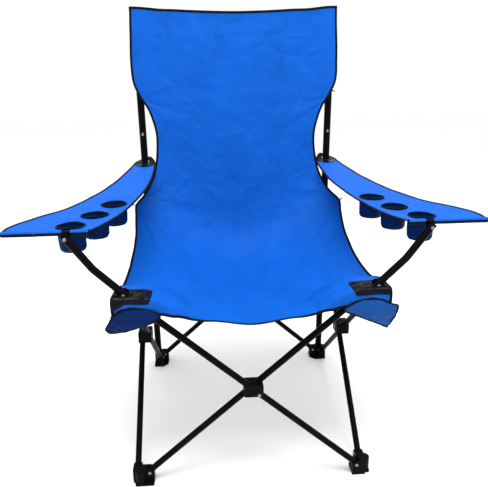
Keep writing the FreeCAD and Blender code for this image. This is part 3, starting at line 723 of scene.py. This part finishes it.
def wrinkle(x, run, edge_x):
    """Depth of the cloth's wrinkles at a place on the flat sling."""
    total = 0.0
    for side in (-1, 1):
        turn = 0.7 if side > 0 else 0.0
        total += 0.8 * fan_folds(x, run, (side * 0.40, 0.07), 0.20, 15, turn)
        total += 0.9 * fan_folds(x, run, (side * 0.43, 0.79), 0.20, 13, 1.3 + turn)
        total += 0.6 * fan_folds(x, run, (side * 0.42, 1.33), 0.17, 12, 2.1 + turn)
        total += 0.4 * fan_folds(x, run, (side * 0.40, 1.62), 0.14, 10, 3.4 + turn)
    total += 0.75 * crumple(x, run)
    cross = noise.fractal(Vector((x * 3.2, run * 7.5, 4.0)), 0.9, 2.0, 4)
    total += 0.55 * cross * smooth_step((run - 0.45) / 0.2) * smooth_step((1.25 - run) / 0.3)
    total += 0.35 * noise.fractal(Vector((x * 5.0, run * 4.0, 9.0)), 0.9, 2.0, 4)
    held = smooth_step((edge_x - abs(x)) / 0.03)
    total *= 0.25 + 0.75 * held
    by_post = smooth_step((abs(x) - 0.34) / 0.03) * smooth_step((run - 1.30) / 0.06)
    return total * (1 - by_post) + 0.3 * abs(total) * by_post


def weave_sling():
    """Works out the sling's face as a grid of points, and where each lies on the flat cloth."""
    stations = [row[:5] for row in SLING]
    rows = smooth_line(stations, [row[5] for row in SLING[:-1]])
    columns = [2 * column / SLING_COLUMNS - 1 for column in range(SLING_COLUMNS + 1)]
    grid = [[sling_rest_point(across, row) for across in columns] for row in rows]
    quarter = SLING_COLUMNS // 4
    runs = [0.0]
    for before, after in zip(grid, grid[1:]):
        runs.append(runs[-1] + (after[quarter] - before[quarter]).length)
    normals = grid_normals(grid)
    flat = []
    for index, line in enumerate(grid):
        away_from_hem = smooth_step(runs[index] / 0.05) * smooth_step((runs[-1] - runs[index]) / 0.03)
        spots = []
        for column, point in enumerate(line):
            spots.append((point.x, runs[index]))
            depth = wrinkle(point.x, runs[index], rows[index][0]) * sizes().wrinkle
            over_joint = smooth_step((math.hypot(abs(point.x) - CORNER, point.y + CORNER) - 0.05) / 0.05)
            line[column] = point + normals[index][column] * depth * away_from_hem * over_joint
        flat.append(spots)
    sling["grid"] = grid
    sling["normals"] = grid_normals(grid)
    sling["flat"] = flat


def over_arm_joint(low, high):
    """Whether a small part of the seat cloth lies in the opening round an arm post's joint."""
    middle = (low + high) / 2
    return abs(abs(middle.x) - CORNER) < ARM_GAP_X and abs(middle.y + CORNER) < ARM_GAP_Y


class CHAIR_OT_sling(bpy.types.Operator):
    """Build the seat and back as one hanging sheet of three panels"""

    bl_idname = "chair.sling"
    bl_label = "Sling"

    def execute(self, context):
        weave_sling()
        for name, first, last, body in PANELS:
            rows = slice(row_of(first), row_of(last) + 1)
            piece, face_count, directions = grid_sheet(
                name, sling["grid"][rows], sling["normals"][rows], sling["flat"][rows], sizes().cloth,
                over_arm_joint)
            tidy_sheet(piece, face_count, directions)
            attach(piece, body)
            sling[name] = piece
        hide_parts("back_panel")
        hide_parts("seat_panel")
        return {"FINISHED"}


class CHAIR_OT_sling_binding(bpy.types.Operator):
    """Bind the edges of the sling with folded tape and stitch it"""

    bl_idname = "chair.sling_binding"
    bl_label = "Sling binding"

    def execute(self, context):
        grid, normals = sling["grid"], sling["normals"]
        last_row = len(grid) - 1
        for name, first, last, body in PANELS:
            low, high = row_of(first), row_of(last)
            parts = []
            for column, inner in ((0, 2), (SLING_COLUMNS, SLING_COLUMNS - 2)):
                line = [grid[row][column] for row in range(low, high + 1)]
                inwards = [grid[row][inner] - grid[row][column] for row in range(low, high + 1)]
                facing = [normals[row][column] for row in range(low, high + 1)]
                parts.append(folded_tape(line, inwards, facing))
            for end, inner in ((0, 2), (last_row, last_row - 2)):
                if low == end or high == end:
                    inwards = [b - a for a, b in zip(grid[end], grid[inner])]
                    parts.append(folded_tape(grid[end], inwards, normals[end]))
            tape = tape_piece(name + "_binding", parts, body)
            stitches = self.stitches(name, low, high)
            area = cloth_area(sling[name])
            for piece in (sling[name], tape, stitches):
                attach(piece, body)
                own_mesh(piece)
        return {"FINISHED"}

    def stitches(self, name, low, high):
        grid, normals = sling["grid"], sling["normals"]
        lift = sizes().tape_depth / 2
        parts = []
        rows = range(low, high + 1)
        for column, inner in ((0, 1), (SLING_COLUMNS, SLING_COLUMNS - 1)):
            line = []
            for row in rows:
                way = (grid[row][inner] - grid[row][column]).normalized()
                line.append(grid[row][column] + way * sizes().tape * 0.72)
            parts.append(stitch_row(line, [normals[row][column] for row in rows], lift))
        piece = joined(name + "_stitches", parts)
        body = next(panel[3] for panel in PANELS if panel[0] == name)
        return settle(piece, finish_of("edge_binding"), body)


# ---- top pockets over the back posts ----

class CHAIR_OT_top_pockets(bpy.types.Operator):
    """Sew the closed pockets that hang the back on the two posts"""

    bl_idname = "chair.top_pockets"
    bl_label = "Top pockets"

    def execute(self, context):
        for side_name, side in SIDES:
            low_z, high_z = 1.352, SLING_TOP
            radius = POST_R + 0.0018
            route = [(side * 0.4215, 0.3868), (side * (CORNER + radius * 0.95), LEFT_POST.y - 0.006)]
            for step in range(9):
                turn = math.pi * step / 8
                route.append((side * (CORNER + radius * math.cos(turn)),
                              LEFT_POST.y + radius * math.sin(turn)))
            route += [(side * (CORNER - radius * 0.95), LEFT_POST.y - 0.006), (side * 0.376, 0.3872)]
            line = smooth_line(route, 3)
            grid, flat, rows = [], [], 22
            for row in range(rows + 1):
                share = row / rows
                z = low_z + (high_z - low_z) * share
                closing = smooth_step((share - 0.93) / 0.07)
                points, spots = [], []
                for index, (x, y) in enumerate(line):
                    ripple = 0.0011 * noise.noise(Vector((x * 60, y * 60, z * 14)))
                    middle_y = 0.3868 + (y - 0.3868) * (1 - 0.86 * closing)
                    points.append(Vector((x + ripple * side, middle_y + ripple, z)))
                    spots.append((index * 0.004, z))
                grid.append(points)
                flat.append(spots)
            if side > 0:
                grid = [line_of[::-1] for line_of in grid]
                flat = [line_of[::-1] for line_of in flat]
            name = f"top_pocket_{side_name}"
            piece, face_count, _ = grid_sheet(name, grid, grid_normals(grid), flat, -sizes().cloth)
            paint_reverse(piece, face_count, "pocket_cloth", "pocket_cloth")
            face_outwards(piece)
            body = f"rear_{side_name}_post"
            settle(piece, finish_of("pocket_cloth"), body)
            hem = folded_tape(grid[0], [b - a for a, b in zip(grid[0], grid[1])],
                              [n * -1 for n in grid_normals(grid)[0]], depth=0.003)
            tape = tape_piece(name + "_hem", [hem], body)
            area = cloth_area(piece)
            width = sum((b - a).length for a, b in zip(grid[0], grid[0][1:]))
        return {"FINISHED"}


# ---- front corners ----

def seat_at(x, run):
    """A point of the seat's face by its place on the flat cloth, and its normal."""
    flat, grid, normals = sling["flat"], sling["grid"], sling["normals"]
    row = 0
    while row < len(flat) - 2 and flat[row + 1][0][1] < run:
        row += 1
    part = (run - flat[row][0][1]) / (flat[row + 1][0][1] - flat[row][0][1])
    edge = abs(flat[row][0][0])
    place = (x / edge + 1) / 2 * SLING_COLUMNS
    column = min(max(int(place), 0), SLING_COLUMNS - 1)
    over = place - column

    def mixed(table):
        first = table[row][column].lerp(table[row][column + 1], over)
        second = table[row + 1][column].lerp(table[row + 1][column + 1], over)
        return first.lerp(second, part)

    return mixed(grid), mixed(normals)


def rounded_loop(corners, radius, steps=5):
    """A closed outline with its corners rounded."""
    loop = []
    for index, corner in enumerate(corners):
        here = Vector(corner)
        before = Vector(corners[index - 1])
        after = Vector(corners[(index + 1) % len(corners)])
        start = here + (before - here).normalized() * min(radius, (before - here).length * 0.45)
        end = here + (after - here).normalized() * min(radius, (after - here).length * 0.45)
        for step in range(steps + 1):
            part = step / steps
            loop.append(tuple(start.lerp(here, part).lerp(here.lerp(end, part), part)))
    return loop


class CHAIR_OT_corner_patches(bpy.types.Operator):
    """Sew the glossy vinyl patches round the arm posts' joints"""

    bl_idname = "chair.corner_patches"
    bl_label = "Corner patches"

    def execute(self, context):
        for side_name, side in SIDES:
            joint_run = self.run_at(side)
            low_end = 0.009 if side < 0 else 0.017
            outline = [(side * 0.437, low_end), (side * 0.437, joint_run + 0.006),
                       (side * 0.424, joint_run + 0.0245), (side * 0.318, joint_run + 0.0225),
                       (side * 0.320, 0.014), (side * 0.392, 0.017)]
            gap_y = ARM_GAP_Y - 0.0018
            gap_x = ARM_GAP_X - 0.0060
            gap = [(side * (CORNER + gap_x), joint_run - gap_y), (side * (CORNER + gap_x), joint_run + gap_y),
                   (side * (CORNER - gap_x), joint_run + gap_y), (side * (CORNER - gap_x), joint_run - gap_y)]
            loop, opening = rounded_loop(outline, 0.010), rounded_loop(gap, 0.008)
            lift = sizes().vinyl + 0.0006

            def place(x, run):
                point, normal = seat_at(x, run)
                dimple = 0.0009 * noise.noise(Vector((x * 55, run * 55, side)))
                return point + normal * (lift + dimple)

            points, faces, spots, _ = cut_sheet(loop, [opening], 0.005, place, sizes().vinyl)
            name = f"corner_patch_vinyl_{side_name}"
            piece = built(name, points, faces, spots)
            body = f"{side_name}_corner"
            settle(piece, finish_of("corner_vinyl"), body)
            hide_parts(f"corner_patch_{side_name}")
            lip = self.lip(name + "_lip", opening, place, body)
            sewn = self.sewn(name + "_stitches", outline, place, body)
        return {"FINISHED"}

    def run_at(self, side):
        """How far from the hem, along the flat cloth, the arm post's joint comes through."""
        for row, line in enumerate(sling["grid"]):
            column = 0 if side < 0 else SLING_COLUMNS
            if line[column].y > -CORNER:
                return sling["flat"][row][0][1]
        raise RuntimeError("the seat doesn't reach the arm post's joint")

    def lip(self, name, opening, place, body):
        line = [place(x, run) for x, run in opening]
        centre = sum(line, Vector()) / len(line)
        inwards = [point - centre for point in line]
        tape = folded_tape(line, inwards, [Vector((0, 0, 1))] * len(line), True, 0.005, 0.0042)
        piece = joined(name, [tape])
        face_outwards(piece)
        return settle(piece, finish_of("corner_vinyl"), body)

    def sewn(self, name, outline, place, body):
        middle = sum((Vector(spot) for spot in outline), Vector((0, 0))) / len(outline)
        shrunk = []
        for spot in outline:
            way = middle - Vector(spot)
            inset = Vector((math.copysign(0.0045, way.x), math.copysign(0.0045, way.y)))
            shrunk.append(tuple(Vector(spot) + inset))
        loop = rounded_loop(shrunk, 0.008, 6)
        loop.append(loop[0])
        line, normals = [], []
        for start, end in zip(loop, loop[1:]):
            for step in range(4):
                spot = Vector(start).lerp(Vector(end), step / 4)
                line.append(place(spot.x, spot.y))
                normals.append(seat_at(spot.x, spot.y)[1])
        piece = joined(name, [stitch_row(line, normals, 0.0002)])
        return settle(piece, finish_of("pocket_cloth"), body)


class CHAIR_OT_corner_pockets(bpy.types.Operator):
    """Hang the navy pocket cloth in front of each corner joint"""

    bl_idname = "chair.corner_pockets"
    bl_label = "Corner pockets"

    # Lighter, glossier copy of the navy pocket cloth for the right pocket: painted light where that pocket
    # faces the lamps, not a different cloth.
    def sunlit_finish(self):
        return woven_cloth("pocket_cloth_painted_light", (0.003, 0.050, 0.22), 0.36, 0.10)

    # outlines of the left and right pocket by distance from the middle and height
    SHAPES = {"left": [(0.464, 0.632), (0.449, 0.662), (0.436, 0.681), (0.388, 0.702), (0.326, 0.698),
                       (0.290, 0.678), (0.314, 0.656), (0.361, 0.635), (0.408, 0.619), (0.444, 0.613)],
              "right": [(0.285, 0.672), (0.336, 0.699), (0.388, 0.705), (0.438, 0.688), (0.462, 0.680),
                        (0.456, 0.650), (0.441, 0.599), (0.431, 0.596), (0.380, 0.624), (0.335, 0.646)]}

    def execute(self, context):
        for side_name, side in SIDES:
            corners = self.SHAPES[side_name]
            ring = corners[-2:] + corners + corners[:3]
            line = smooth_line(ring, 5)[10:-10]
            outline = [(side * x, z) for x, z in line][:-1]
            top = max(z for x, z in corners)
            low = min(z for x, z in corners)

            def place(x, z):
                share = smooth_step((top - z) / (top - low))
                puff = 0.013 * math.sin(math.pi * min(max((top - z) / (top - low), 0), 1)) ** 0.8
                valley = noise.noise(Vector((x * 24, z * 36 + x * 18, side * 3)))
                crease = -0.0065 * math.exp(-6 * abs(valley))
                crease += 0.003 * noise.fractal(Vector((x * 26, z * 40 + x * 20, side * 3)), 0.8, 2.0, 3)
                return Vector((x, FLAP_Y - 0.001 - puff + 0.012 * share * share + crease * share, z))

            points, faces, spots, _ = cut_sheet(outline, [], 0.004, place, sizes().cloth)
            name = f"corner_pocket_cloth_{side_name}"
            piece = built(name, points, faces, spots)
            body = f"{side_name}_corner"
            # The right pocket takes the painted-light copy of the pocket cloth; the left keeps the plain navy
            # pocket cloth.
            finish = finish_of("pocket_cloth") if side < 0 else self.sunlit_finish()
            settle(piece, finish, body)
            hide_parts(f"corner_pocket_{side_name}")
            edge = [place(x, z) for x, z in outline]
            centre = sum(edge, Vector()) / len(edge)
            inwards = [centre - point for point in edge]
            hem = folded_tape(edge, inwards, [Vector((0, -1, 0))] * len(edge), True,
                              0.004, 0.003)
            tape = tape_piece(name + "_binding", [hem], body)
        return {"FINISHED"}


# ---- arms ----

ARM_OUTER = [(0.757, -0.372), (0.748, -0.310), (0.690, -0.226), (0.618, -0.140), (0.548, 0.010),
             (0.498, 0.170), (0.468, 0.310), (0.452, 0.395)]
ARM_INNER = [(0.357, 0.395), (0.352, 0.300), (0.356, 0.150), (0.372, 0.010), (0.398, -0.130),
             (0.428, -0.245), (0.466, -0.335), (0.498, -0.380)]
ARM_FRONT_Y = BAR_Y + ARM_BAR_R
POST_HOLE_R = 0.0185


def arm_slope():
    return (ARM_REAR.z - 0.001 - BAR_Z) / (ARM_REAR.y - BAR_Y)


def cup_centres(side_name):
    """Middle of each cup's mouth in plan, from the openings that the record states."""
    found = []
    for opening in frame["record"]["physics"]["openings"]:
        if opening["name"].startswith("cup_" + side_name):
            low, high = opening["box_m"]
            found.append(((low[0] + high[0]) / 2, (low[1] + high[1]) / 2))
    return found


def arm_place(side, cups):
    """The arm cloth's face over a place in plan."""
    def place(x, y):
        share = (y - BAR_Y) / (ARM_REAR.y - BAR_Y)
        sag = -0.010 * math.sin(math.pi * min(max(share, 0), 1))
        ripple = 0.0014 * noise.fractal(Vector((x * 9, y * 9, side * 2.0)), 0.8, 2.0, 3)
        pull = 0.0016 * math.sin(abs(x) * 70 + 9 * noise.noise(Vector((x * 4, y * 4, side))))
        pull *= math.exp(-max(y - BAR_Y, 0) / 0.05)
        near_post = math.exp(-math.hypot(abs(x) - CORNER, y - LEFT_POST.y) / 0.05)
        sink = 0.0
        for cup_x, cup_y in cups:
            away = math.hypot(x - cup_x, y - cup_y) / sizes().cup_radius
            sink -= 0.0035 * math.exp(-max(away - 1.0, 0) * 3)
        inner = smooth_step((CORNER + 0.03 - abs(x)) / 0.06)
        curl = 0.024 * smooth_step((y - LEFT_POST.y + 0.012) / 0.045) * (0.35 + 0.65 * inner)
        height = BAR_Z + arm_slope() * (y - BAR_Y) + curl
        return Vector((x, y, height + sag + sink + (ripple + pull) * (1 - near_post)))
    return place


def ring_loop(centre, radius, count=48):
    return [(centre[0] + radius * math.cos(2 * math.pi * step / count),
             centre[1] + radius * math.sin(2 * math.pi * step / count)) for step in range(count)]


def arm_outline(side):
    """The arm cloth's outline in plan: outer edge, round the post, inner edge."""
    outer = smooth_line(ARM_OUTER, 8)
    inner = smooth_line(ARM_INNER, 8)
    start, end = Vector(outer[-1]), Vector(inner[0])
    middle = (start + end) / 2
    half = (start - end).length / 2
    arc = []
    for step in range(1, 16):
        turn = math.pi * step / 16
        arc.append((middle.x + half * math.cos(turn), middle.y + 0.036 * math.sin(turn)))
    front = [tuple(Vector(inner[-1]).lerp(Vector((0.757, ARM_FRONT_Y)), step / 24)) for step in range(1, 24)]
    front = [(x, ARM_FRONT_Y) for x, _ in front]
    return [(side * x, y) for x, y in outer + arc + inner + front]


class CHAIR_OT_arm_cloths(bpy.types.Operator):
    """Cut and bind the arm cloths with their cup holes"""

    bl_idname = "chair.arm_cloths"
    bl_label = "Arm cloths"

    def execute(self, context):
        for side_name, side in SIDES:
            cups = cup_centres(side_name)
            place = arm_place(side, cups)
            outline = arm_outline(side)
            holes = [ring_loop(cup, sizes().cup_radius) for cup in cups]
            holes.append(ring_loop((side * CORNER, LEFT_POST.y), POST_HOLE_R, 32))
            points, faces, spots, count = cut_sheet(outline, holes, 0.0085, place, sizes().cloth)
            name = f"arm_cloth_{side_name}"
            piece = built(name, points, faces, spots)
            paint_reverse(piece, count)
            body = f"{side_name}_arm_bar"
            settle(piece, finish_of("seat_cloth"), body)
            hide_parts(f"arm_sheet_{side_name}")
            tape, stitches = self.binding(name, outline, place, body)
            guard = self.guard(side_name, side, place, body)
            sleeve = self.sleeve(side_name, side, body)
            for part in (piece, tape, stitches, guard):
                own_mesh(part)
        return {"FINISHED"}

    def binding(self, name, outline, place, body):
        """Tape round the outer, rear and inner edges; the front edge goes into the bar's sleeve."""
        edge = outline[:-23]
        line = [place(x, y) for x, y in edge]
        flat = [Vector((x, y, 0)) for x, y in edge]
        inwards = []
        for index in range(len(flat)):
            way = (flat[min(index + 1, len(flat) - 1)] - flat[max(index - 1, 0)]).normalized()
            inward = Vector((way.y, -way.x, 0))
            inwards.append(inward if name.endswith("left") else -inward)
        probe = flat[40] + inwards[40] * 0.01
        if not inside((probe.x, probe.y), outline):
            inwards = [-way for way in inwards]
        up = [Vector((0, 0, 1))] * len(line)
        tape = tape_piece(name + "_binding", [folded_tape(line, inwards, up)], body)
        sewn = [point + way * sizes().tape * 0.72 for point, way in zip(line, inwards)]
        piece = joined(name + "_stitches", [stitch_row(sewn, up, sizes().tape_depth / 2)])
        return tape, settle(piece, finish_of("edge_binding"), body)

    def guard(self, side_name, side, place, body):
        """Vinyl ring round the back post, with a raised lip."""
        centre = (side * CORNER, LEFT_POST.y)
        outline = []
        for x, y in ring_loop(centre, 1.0, 56):
            over, along = x - centre[0], y - centre[1]
            outline.append((centre[0] + over * 0.041, centre[1] + along * (0.030 if along > 0 else 0.048)))

        def raised(x, y):
            away = math.hypot(x - centre[0], y - centre[1])
            lip = 0.0045 * math.exp(-max(away - POST_HOLE_R, 0) / 0.005)
            turn = math.atan2(y - centre[1], x - centre[0])
            pucker = 0.0012 * math.sin(9 * turn) * smooth_step((away - 0.02) / 0.01)
            return place(x, y) + Vector((0, 0, sizes().vinyl + 0.0014 + lip + pucker * 0.5))

        hole = ring_loop(centre, POST_HOLE_R - 0.001, 40)
        points, faces, spots, _ = cut_sheet(outline, [hole], 0.0045, raised, sizes().vinyl)
        piece = built(f"post_guard_{side_name}", points, faces, spots)
        settle(piece, finish_of("corner_vinyl"), body)
        return piece

    def sleeve(self, side_name, side, body):
        """Black sleeve sewn round the arm's front bar, open where the bar's tab meets the arm post."""
        tab = (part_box(f"arm_rivet_{side_name}")[0].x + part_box(f"arm_rivet_{side_name}")[1].x) / 2
        tab = abs(tab)
        radius = ARM_BAR_R + 0.0022
        parts = []
        for first, last in ((0.494, tab - 0.013), (tab + 0.013, 0.759)):
            points, flat, faces = [], [], []
            steps, around = 40, 20
            for step in range(steps + 1):
                x = first + (last - first) * step / steps
                tip = 1.0
                if last > 0.75:
                    tip = math.sqrt(max(1 - max((x - (last - 0.012)) / 0.012, 0) ** 2, 0.04))
                for number in range(around):
                    turn = 2 * math.pi * number / around
                    where = Vector((x * 60, math.cos(turn) * 2, math.sin(turn) * 2 + side))
                    crease = 0.0008 * noise.noise(where)
                    reach = (radius + crease) * tip
                    over = math.cos(turn)
                    stretch = 1.0 + 0.55 * max(over, 0) ** 3
                    points.append(Vector(
                        (side * x, BAR_Y + reach * over * stretch, BAR_Z + reach * math.sin(turn))))
                    flat.append((x, number * 0.003))
            for step in range(steps):
                for number in range(around):
                    a = step * around + number
                    b = step * around + (number + 1) % around
                    faces.append((a, b, b + around, a + around))
            faces.append(tuple(range(around)))
            faces.append(tuple(reversed(range(steps * around, steps * around + around))))
            parts.append((points, faces, flat))
        piece = tape_piece(f"arm_sleeve_{side_name}", parts, body)
        piece.data.materials.append(finish_of("seat_cloth"))
        for polygon in piece.data.polygons:
            over_bar = polygon.center.z > BAR_Z + 0.0015 and abs(polygon.center.x) < 0.750
            polygon.material_index = 1 if over_bar else 0
        return piece


class CHAIR_OT_cups(bpy.types.Operator):
    """Hang the three cloth cups under each arm and bind their mouths"""

    bl_idname = "chair.cups"
    bl_label = "Cups"

    def execute(self, context):
        for side_name, side in SIDES:
            cups = cup_centres(side_name)
            place = arm_place(side, cups)
            body = f"{side_name}_arm_bar"
            for (x, y), which in zip(cups, ("front", "middle", "rear")):
                pouch = self.pouch(f"cup_pouch_{side_name}_{which}", x, y, place, body)
                rim = self.rim(f"cup_rim_{side_name}_{which}", x, y, place, body)
                if which == "front":
                    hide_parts(f"cup_pouches_{side_name}")
                    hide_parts(f"cup_rims_{side_name}")
                for part in (pouch, rim):
                    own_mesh(part)
        return {"FINISHED"}

    def pouch(self, name, x, y, place, body):
        around, down = 56, 16
        radius, depth = sizes().cup_radius, sizes().cup_depth
        centre_z = BAR_Z + arm_slope() * (y - BAR_Y)
        seed = x * 31 + y * 17
        grid, flat = [], []
        for row in range(down + 8):
            points, spots = [], []
            for step in range(around + 1):
                turn = 2 * math.pi * (step % around) / around
                over, along = math.cos(turn), math.sin(turn)
                rim = place(x + radius * over, y + radius * along)
                rim.z -= 0.0004
                if row <= down:
                    share = row / down
                    taper = 1 - 0.055 * share
                    rounding = 1 - 0.10 * smooth_step((share - 0.86) / 0.14) ** 2
                    sag = 0.0022 * noise.noise(Vector((over * 2.2 + seed, along * 2.2, share * 1.6)))
                    tuck = 0.0008 * math.sin(turn * 17 + seed) * math.exp(-share * 6)
                    reach = radius * taper * rounding + (sag * smooth_step(share * 3) + tuck)
                    z = rim.z + (centre_z - depth + 0.004 - rim.z) * share
                else:
                    inner = 1 - (row - down) / 8
                    reach = radius * 0.85 * inner
                    z = centre_z - depth + 0.004 - 0.004 * (1 - inner ** 2)
                    z += 0.0008 * noise.noise(Vector((over * inner * 3 + seed, along * inner * 3, 5)))
                points.append(Vector((x + reach * over, y + reach * along, z)))
                spots.append((radius * 2 * math.pi * step / around, -depth * min(row / down, 1.0)
                              - max(row - down, 0) * 0.005))
            grid.append(points)
            flat.append(spots)
        faces, points, spots = [], [], []
        for line, flat_line in zip(grid, flat):
            points += line[:-1]
            spots += flat_line[:-1]
        for row in range(len(grid) - 1):
            for step in range(around):
                a = row * around + step
                b = row * around + (step + 1) % around
                faces.append((a, a + around, b + around, b))
        last = (len(grid) - 1) * around
        faces.append(tuple(range(last, last + around)))
        piece = built(name, points, faces, spots)
        face_outwards(piece)
        wall = piece.modifiers.new("wall", "SOLIDIFY")
        wall.thickness = sizes().cloth
        wall.offset = -1
        bpy.ops.object.modifier_apply(modifier="wall")
        return settle(piece, finish_of("pocket_cloth"), body)

    def rim(self, name, x, y, place, body):
        """Bound ring round a cup's mouth: a flattened ring with an inner fold, tilted with the arm."""
        slope = math.atan(arm_slope())
        bpy.ops.object.select_all(action="DESELECT")
        height = place(x, y + sizes().cup_radius).z / 2 + place(x, y - sizes().cup_radius).z / 2 + 0.0012
        bpy.ops.mesh.primitive_torus_add(
            major_segments=64, minor_segments=14, major_radius=sizes().cup_radius + 0.0008,
            minor_radius=0.0030, location=(x, y, height))
        ring = bpy.context.object
        ring.name = ring.data.name = name
        bpy.ops.object.mode_set(mode="EDIT")
        bpy.ops.mesh.select_all(action="SELECT")
        bpy.ops.transform.resize(value=(1, 1, 0.5), center_override=(x, y, height))
        bpy.ops.mesh.select_all(action="DESELECT")
        bpy.ops.object.mode_set(mode="OBJECT")
        inner = sizes().cup_radius - 0.0015
        for polygon in ring.data.polygons:
            polygon.select = polygon.center.xy.length < inner and polygon.center.z < 0
        bpy.ops.object.mode_set(mode="EDIT")
        bpy.ops.mesh.extrude_region_move(TRANSFORM_OT_translate={"value": (0, 0, -0.0025)})
        bpy.ops.mesh.select_all(action="SELECT")
        bpy.ops.transform.rotate(value=slope, orient_axis="X", center_override=(x, y, height))
        bpy.ops.mesh.normals_make_consistent(inside=False)
        bpy.ops.object.mode_set(mode="OBJECT")
        return settle(ring, finish_of("edge_binding"), body)


# ---- loose tails of the binding ----

class CHAIR_OT_tape_tails(bpy.types.Operator):
    """Leave the short sewn ends of the binding at the seat's rear corner and the back's shoulder"""

    bl_idname = "chair.tape_tails"
    bl_label = "Tape tails"

    def execute(self, context):
        grid = sling["grid"]
        seat_row, shoulder_row = row_of(BACK_SPLIT), row_of(17) + 2
        tails = (("tape_tail_seat_left", grid[seat_row][0], (-0.016, -0.006, 0.002)),
                 ("tape_tail_seat_right", grid[seat_row][-1], (0.009, 0.008, 0.004)),
                 ("tape_tail_back_left", grid[shoulder_row][0], (-0.006, 0.010, -0.010)),
                 ("tape_tail_back_right", grid[shoulder_row][-1], (0.012, 0.012, -0.008)))
        for name, start, way in tails:
            way = Vector(way)
            line = [start + way * part / 5 + Vector((0, 0, -0.0015 * math.sin(part))) for part in range(6)]
            across = way.cross(Vector((0, 0, 1))).normalized()
            part = folded_tape(line, [across] * 6, [across.cross(way).normalized()] * 6, False, 0.006, 0.003)
            tail = tape_piece(name, [part], "rear_left_post")
            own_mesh(tail)
        return {"FINISHED"}


# ---- finishes of the frame ----

class CHAIR_OT_frame_finish(bpy.types.Operator):
    """Give every tube, joint and rivet of the frame its finish"""

    bl_idname = "chair.frame_finish"
    bl_label = "Frame finishes"

    def execute(self, context):
        for name, node in frame["nodes"].items():
            if "rivet" in name:
                slot = "rivet_steel"
            elif "leg" in name and "hub" not in name or "post" in name and "cap" not in name or "bar" in name:
                slot = "frame_tube"
            else:
                slot = "joint_plastic"
            if "hub" in name and "rivets" not in name:
                slot = "joint_plastic"
            node.data.materials.clear()
            node.data.materials.append(finish_of(slot))
        return {"FINISHED"}


# ---- camera, light and floor ----

class CHAIR_OT_stage(bpy.types.Operator):
    """Set up the camera, the soft studio light and the pale floor"""

    bl_idname = "chair.stage"
    bl_label = "Stage"

    # name, place, aim, watts, size
    LIGHTS = (
        ("overhead", (0.0, -0.7, 3.7), (0, -0.1, 0.6), 150.0, 2.2),
        ("key", (-1.6, -2.6, 2.6), (0, 0, 0.9), 10.0, 1.2),
        ("fill", (2.6, -1.8, 2.0), (0, 0, 0.8), 12.0, 1.6),
        ("rim", (0.4, 2.8, 2.8), (0, 0, 0.8), 14.0, 2.0),
    )

    def execute(self, context):
        self.camera()
        self.floor()
        self.lights()
        return {"FINISHED"}

    def camera(self):
        place = (-0.1309, -1.9134, 1.4126)
        pitch, yaw, roll = math.radians(19.018), math.radians(3.969), math.radians(-0.629)
        turned = (Matrix.Rotation(-yaw, 4, "Z") @ Matrix.Rotation(math.pi / 2 - pitch, 4, "X")
                  @ Matrix.Rotation(roll, 4, "Z"))
        bpy.ops.object.camera_add(location=place, rotation=turned.to_euler())
        camera = bpy.context.object
        camera.name = "camera"
        camera.data.lens = 38.52
        camera.data.sensor_width = 36.0
        bpy.context.scene.camera = camera

    def floor(self):
        bpy.ops.mesh.primitive_plane_add(size=24, location=(0, 0, -0.0005))
        floor = bpy.context.object
        floor.name = "floor"
        floor.data.materials.append(floor_material())

    def lights(self):
        scene = bpy.context.scene
        scene.view_settings.view_transform = "Standard"
        world = bpy.data.worlds.new("studio")
        world.use_nodes = True
        background = world.node_tree.nodes["Background"]
        background.inputs["Color"].default_value = (1.0, 1.0, 1.0, 1)
        background.inputs["Strength"].default_value = 1.02
        scene.world = world
        for name, place, aim, power, size in self.LIGHTS:
            way = Vector(aim) - Vector(place)
            turned = way.to_track_quat("-Z", "Y").to_euler()
            bpy.ops.object.light_add(type="AREA", location=place, rotation=turned)
            light = bpy.context.object
            light.name = name
            light.data.energy = power
            light.data.size = size


OPERATORS = (
    CHAIR_OT_stage,
    CHAIR_OT_frame_finish,
    CHAIR_OT_sling,
    CHAIR_OT_sling_binding,
    CHAIR_OT_top_pockets,
    CHAIR_OT_corner_patches,
    CHAIR_OT_corner_pockets,
    CHAIR_OT_arm_cloths,
    CHAIR_OT_cups,
    CHAIR_OT_tape_tails,
)


class CHAIR_PT_panel(bpy.types.Panel):
    """Sidebar panel with the chair's pieces"""

    bl_idname = "CHAIR_PT_panel"
    bl_label = "Camp Chair"
    bl_space_type = "VIEW_3D"
    bl_region_type = "UI"
    bl_category = "Camp Chair"

    def draw(self, context):
        for group in (context.scene.chair_sizes, context.scene.chair_colours):
            box = self.layout.box()
            for name in group.__annotations__:
                box.prop(group, name)
        for operator in OPERATORS:
            self.layout.operator(operator.bl_idname)


CLASSES = (ChairSizes, ChairColours, *OPERATORS, CHAIR_PT_panel)


def register():
    for item in CLASSES:
        bpy.utils.register_class(item)
    bpy.types.Scene.chair_sizes = bpy.props.PointerProperty(type=ChairSizes)
    bpy.types.Scene.chair_colours = bpy.props.PointerProperty(type=ChairColours)


def unregister():
    del bpy.types.Scene.chair_colours
    del bpy.types.Scene.chair_sizes
    for item in reversed(CLASSES):
        bpy.utils.unregister_class(item)


def main():
    register()
    for operator in OPERATORS:
        group, name = operator.bl_idname.split(".")
        getattr(getattr(bpy.ops, group), name)()


if __name__ == "__main__":
    main()
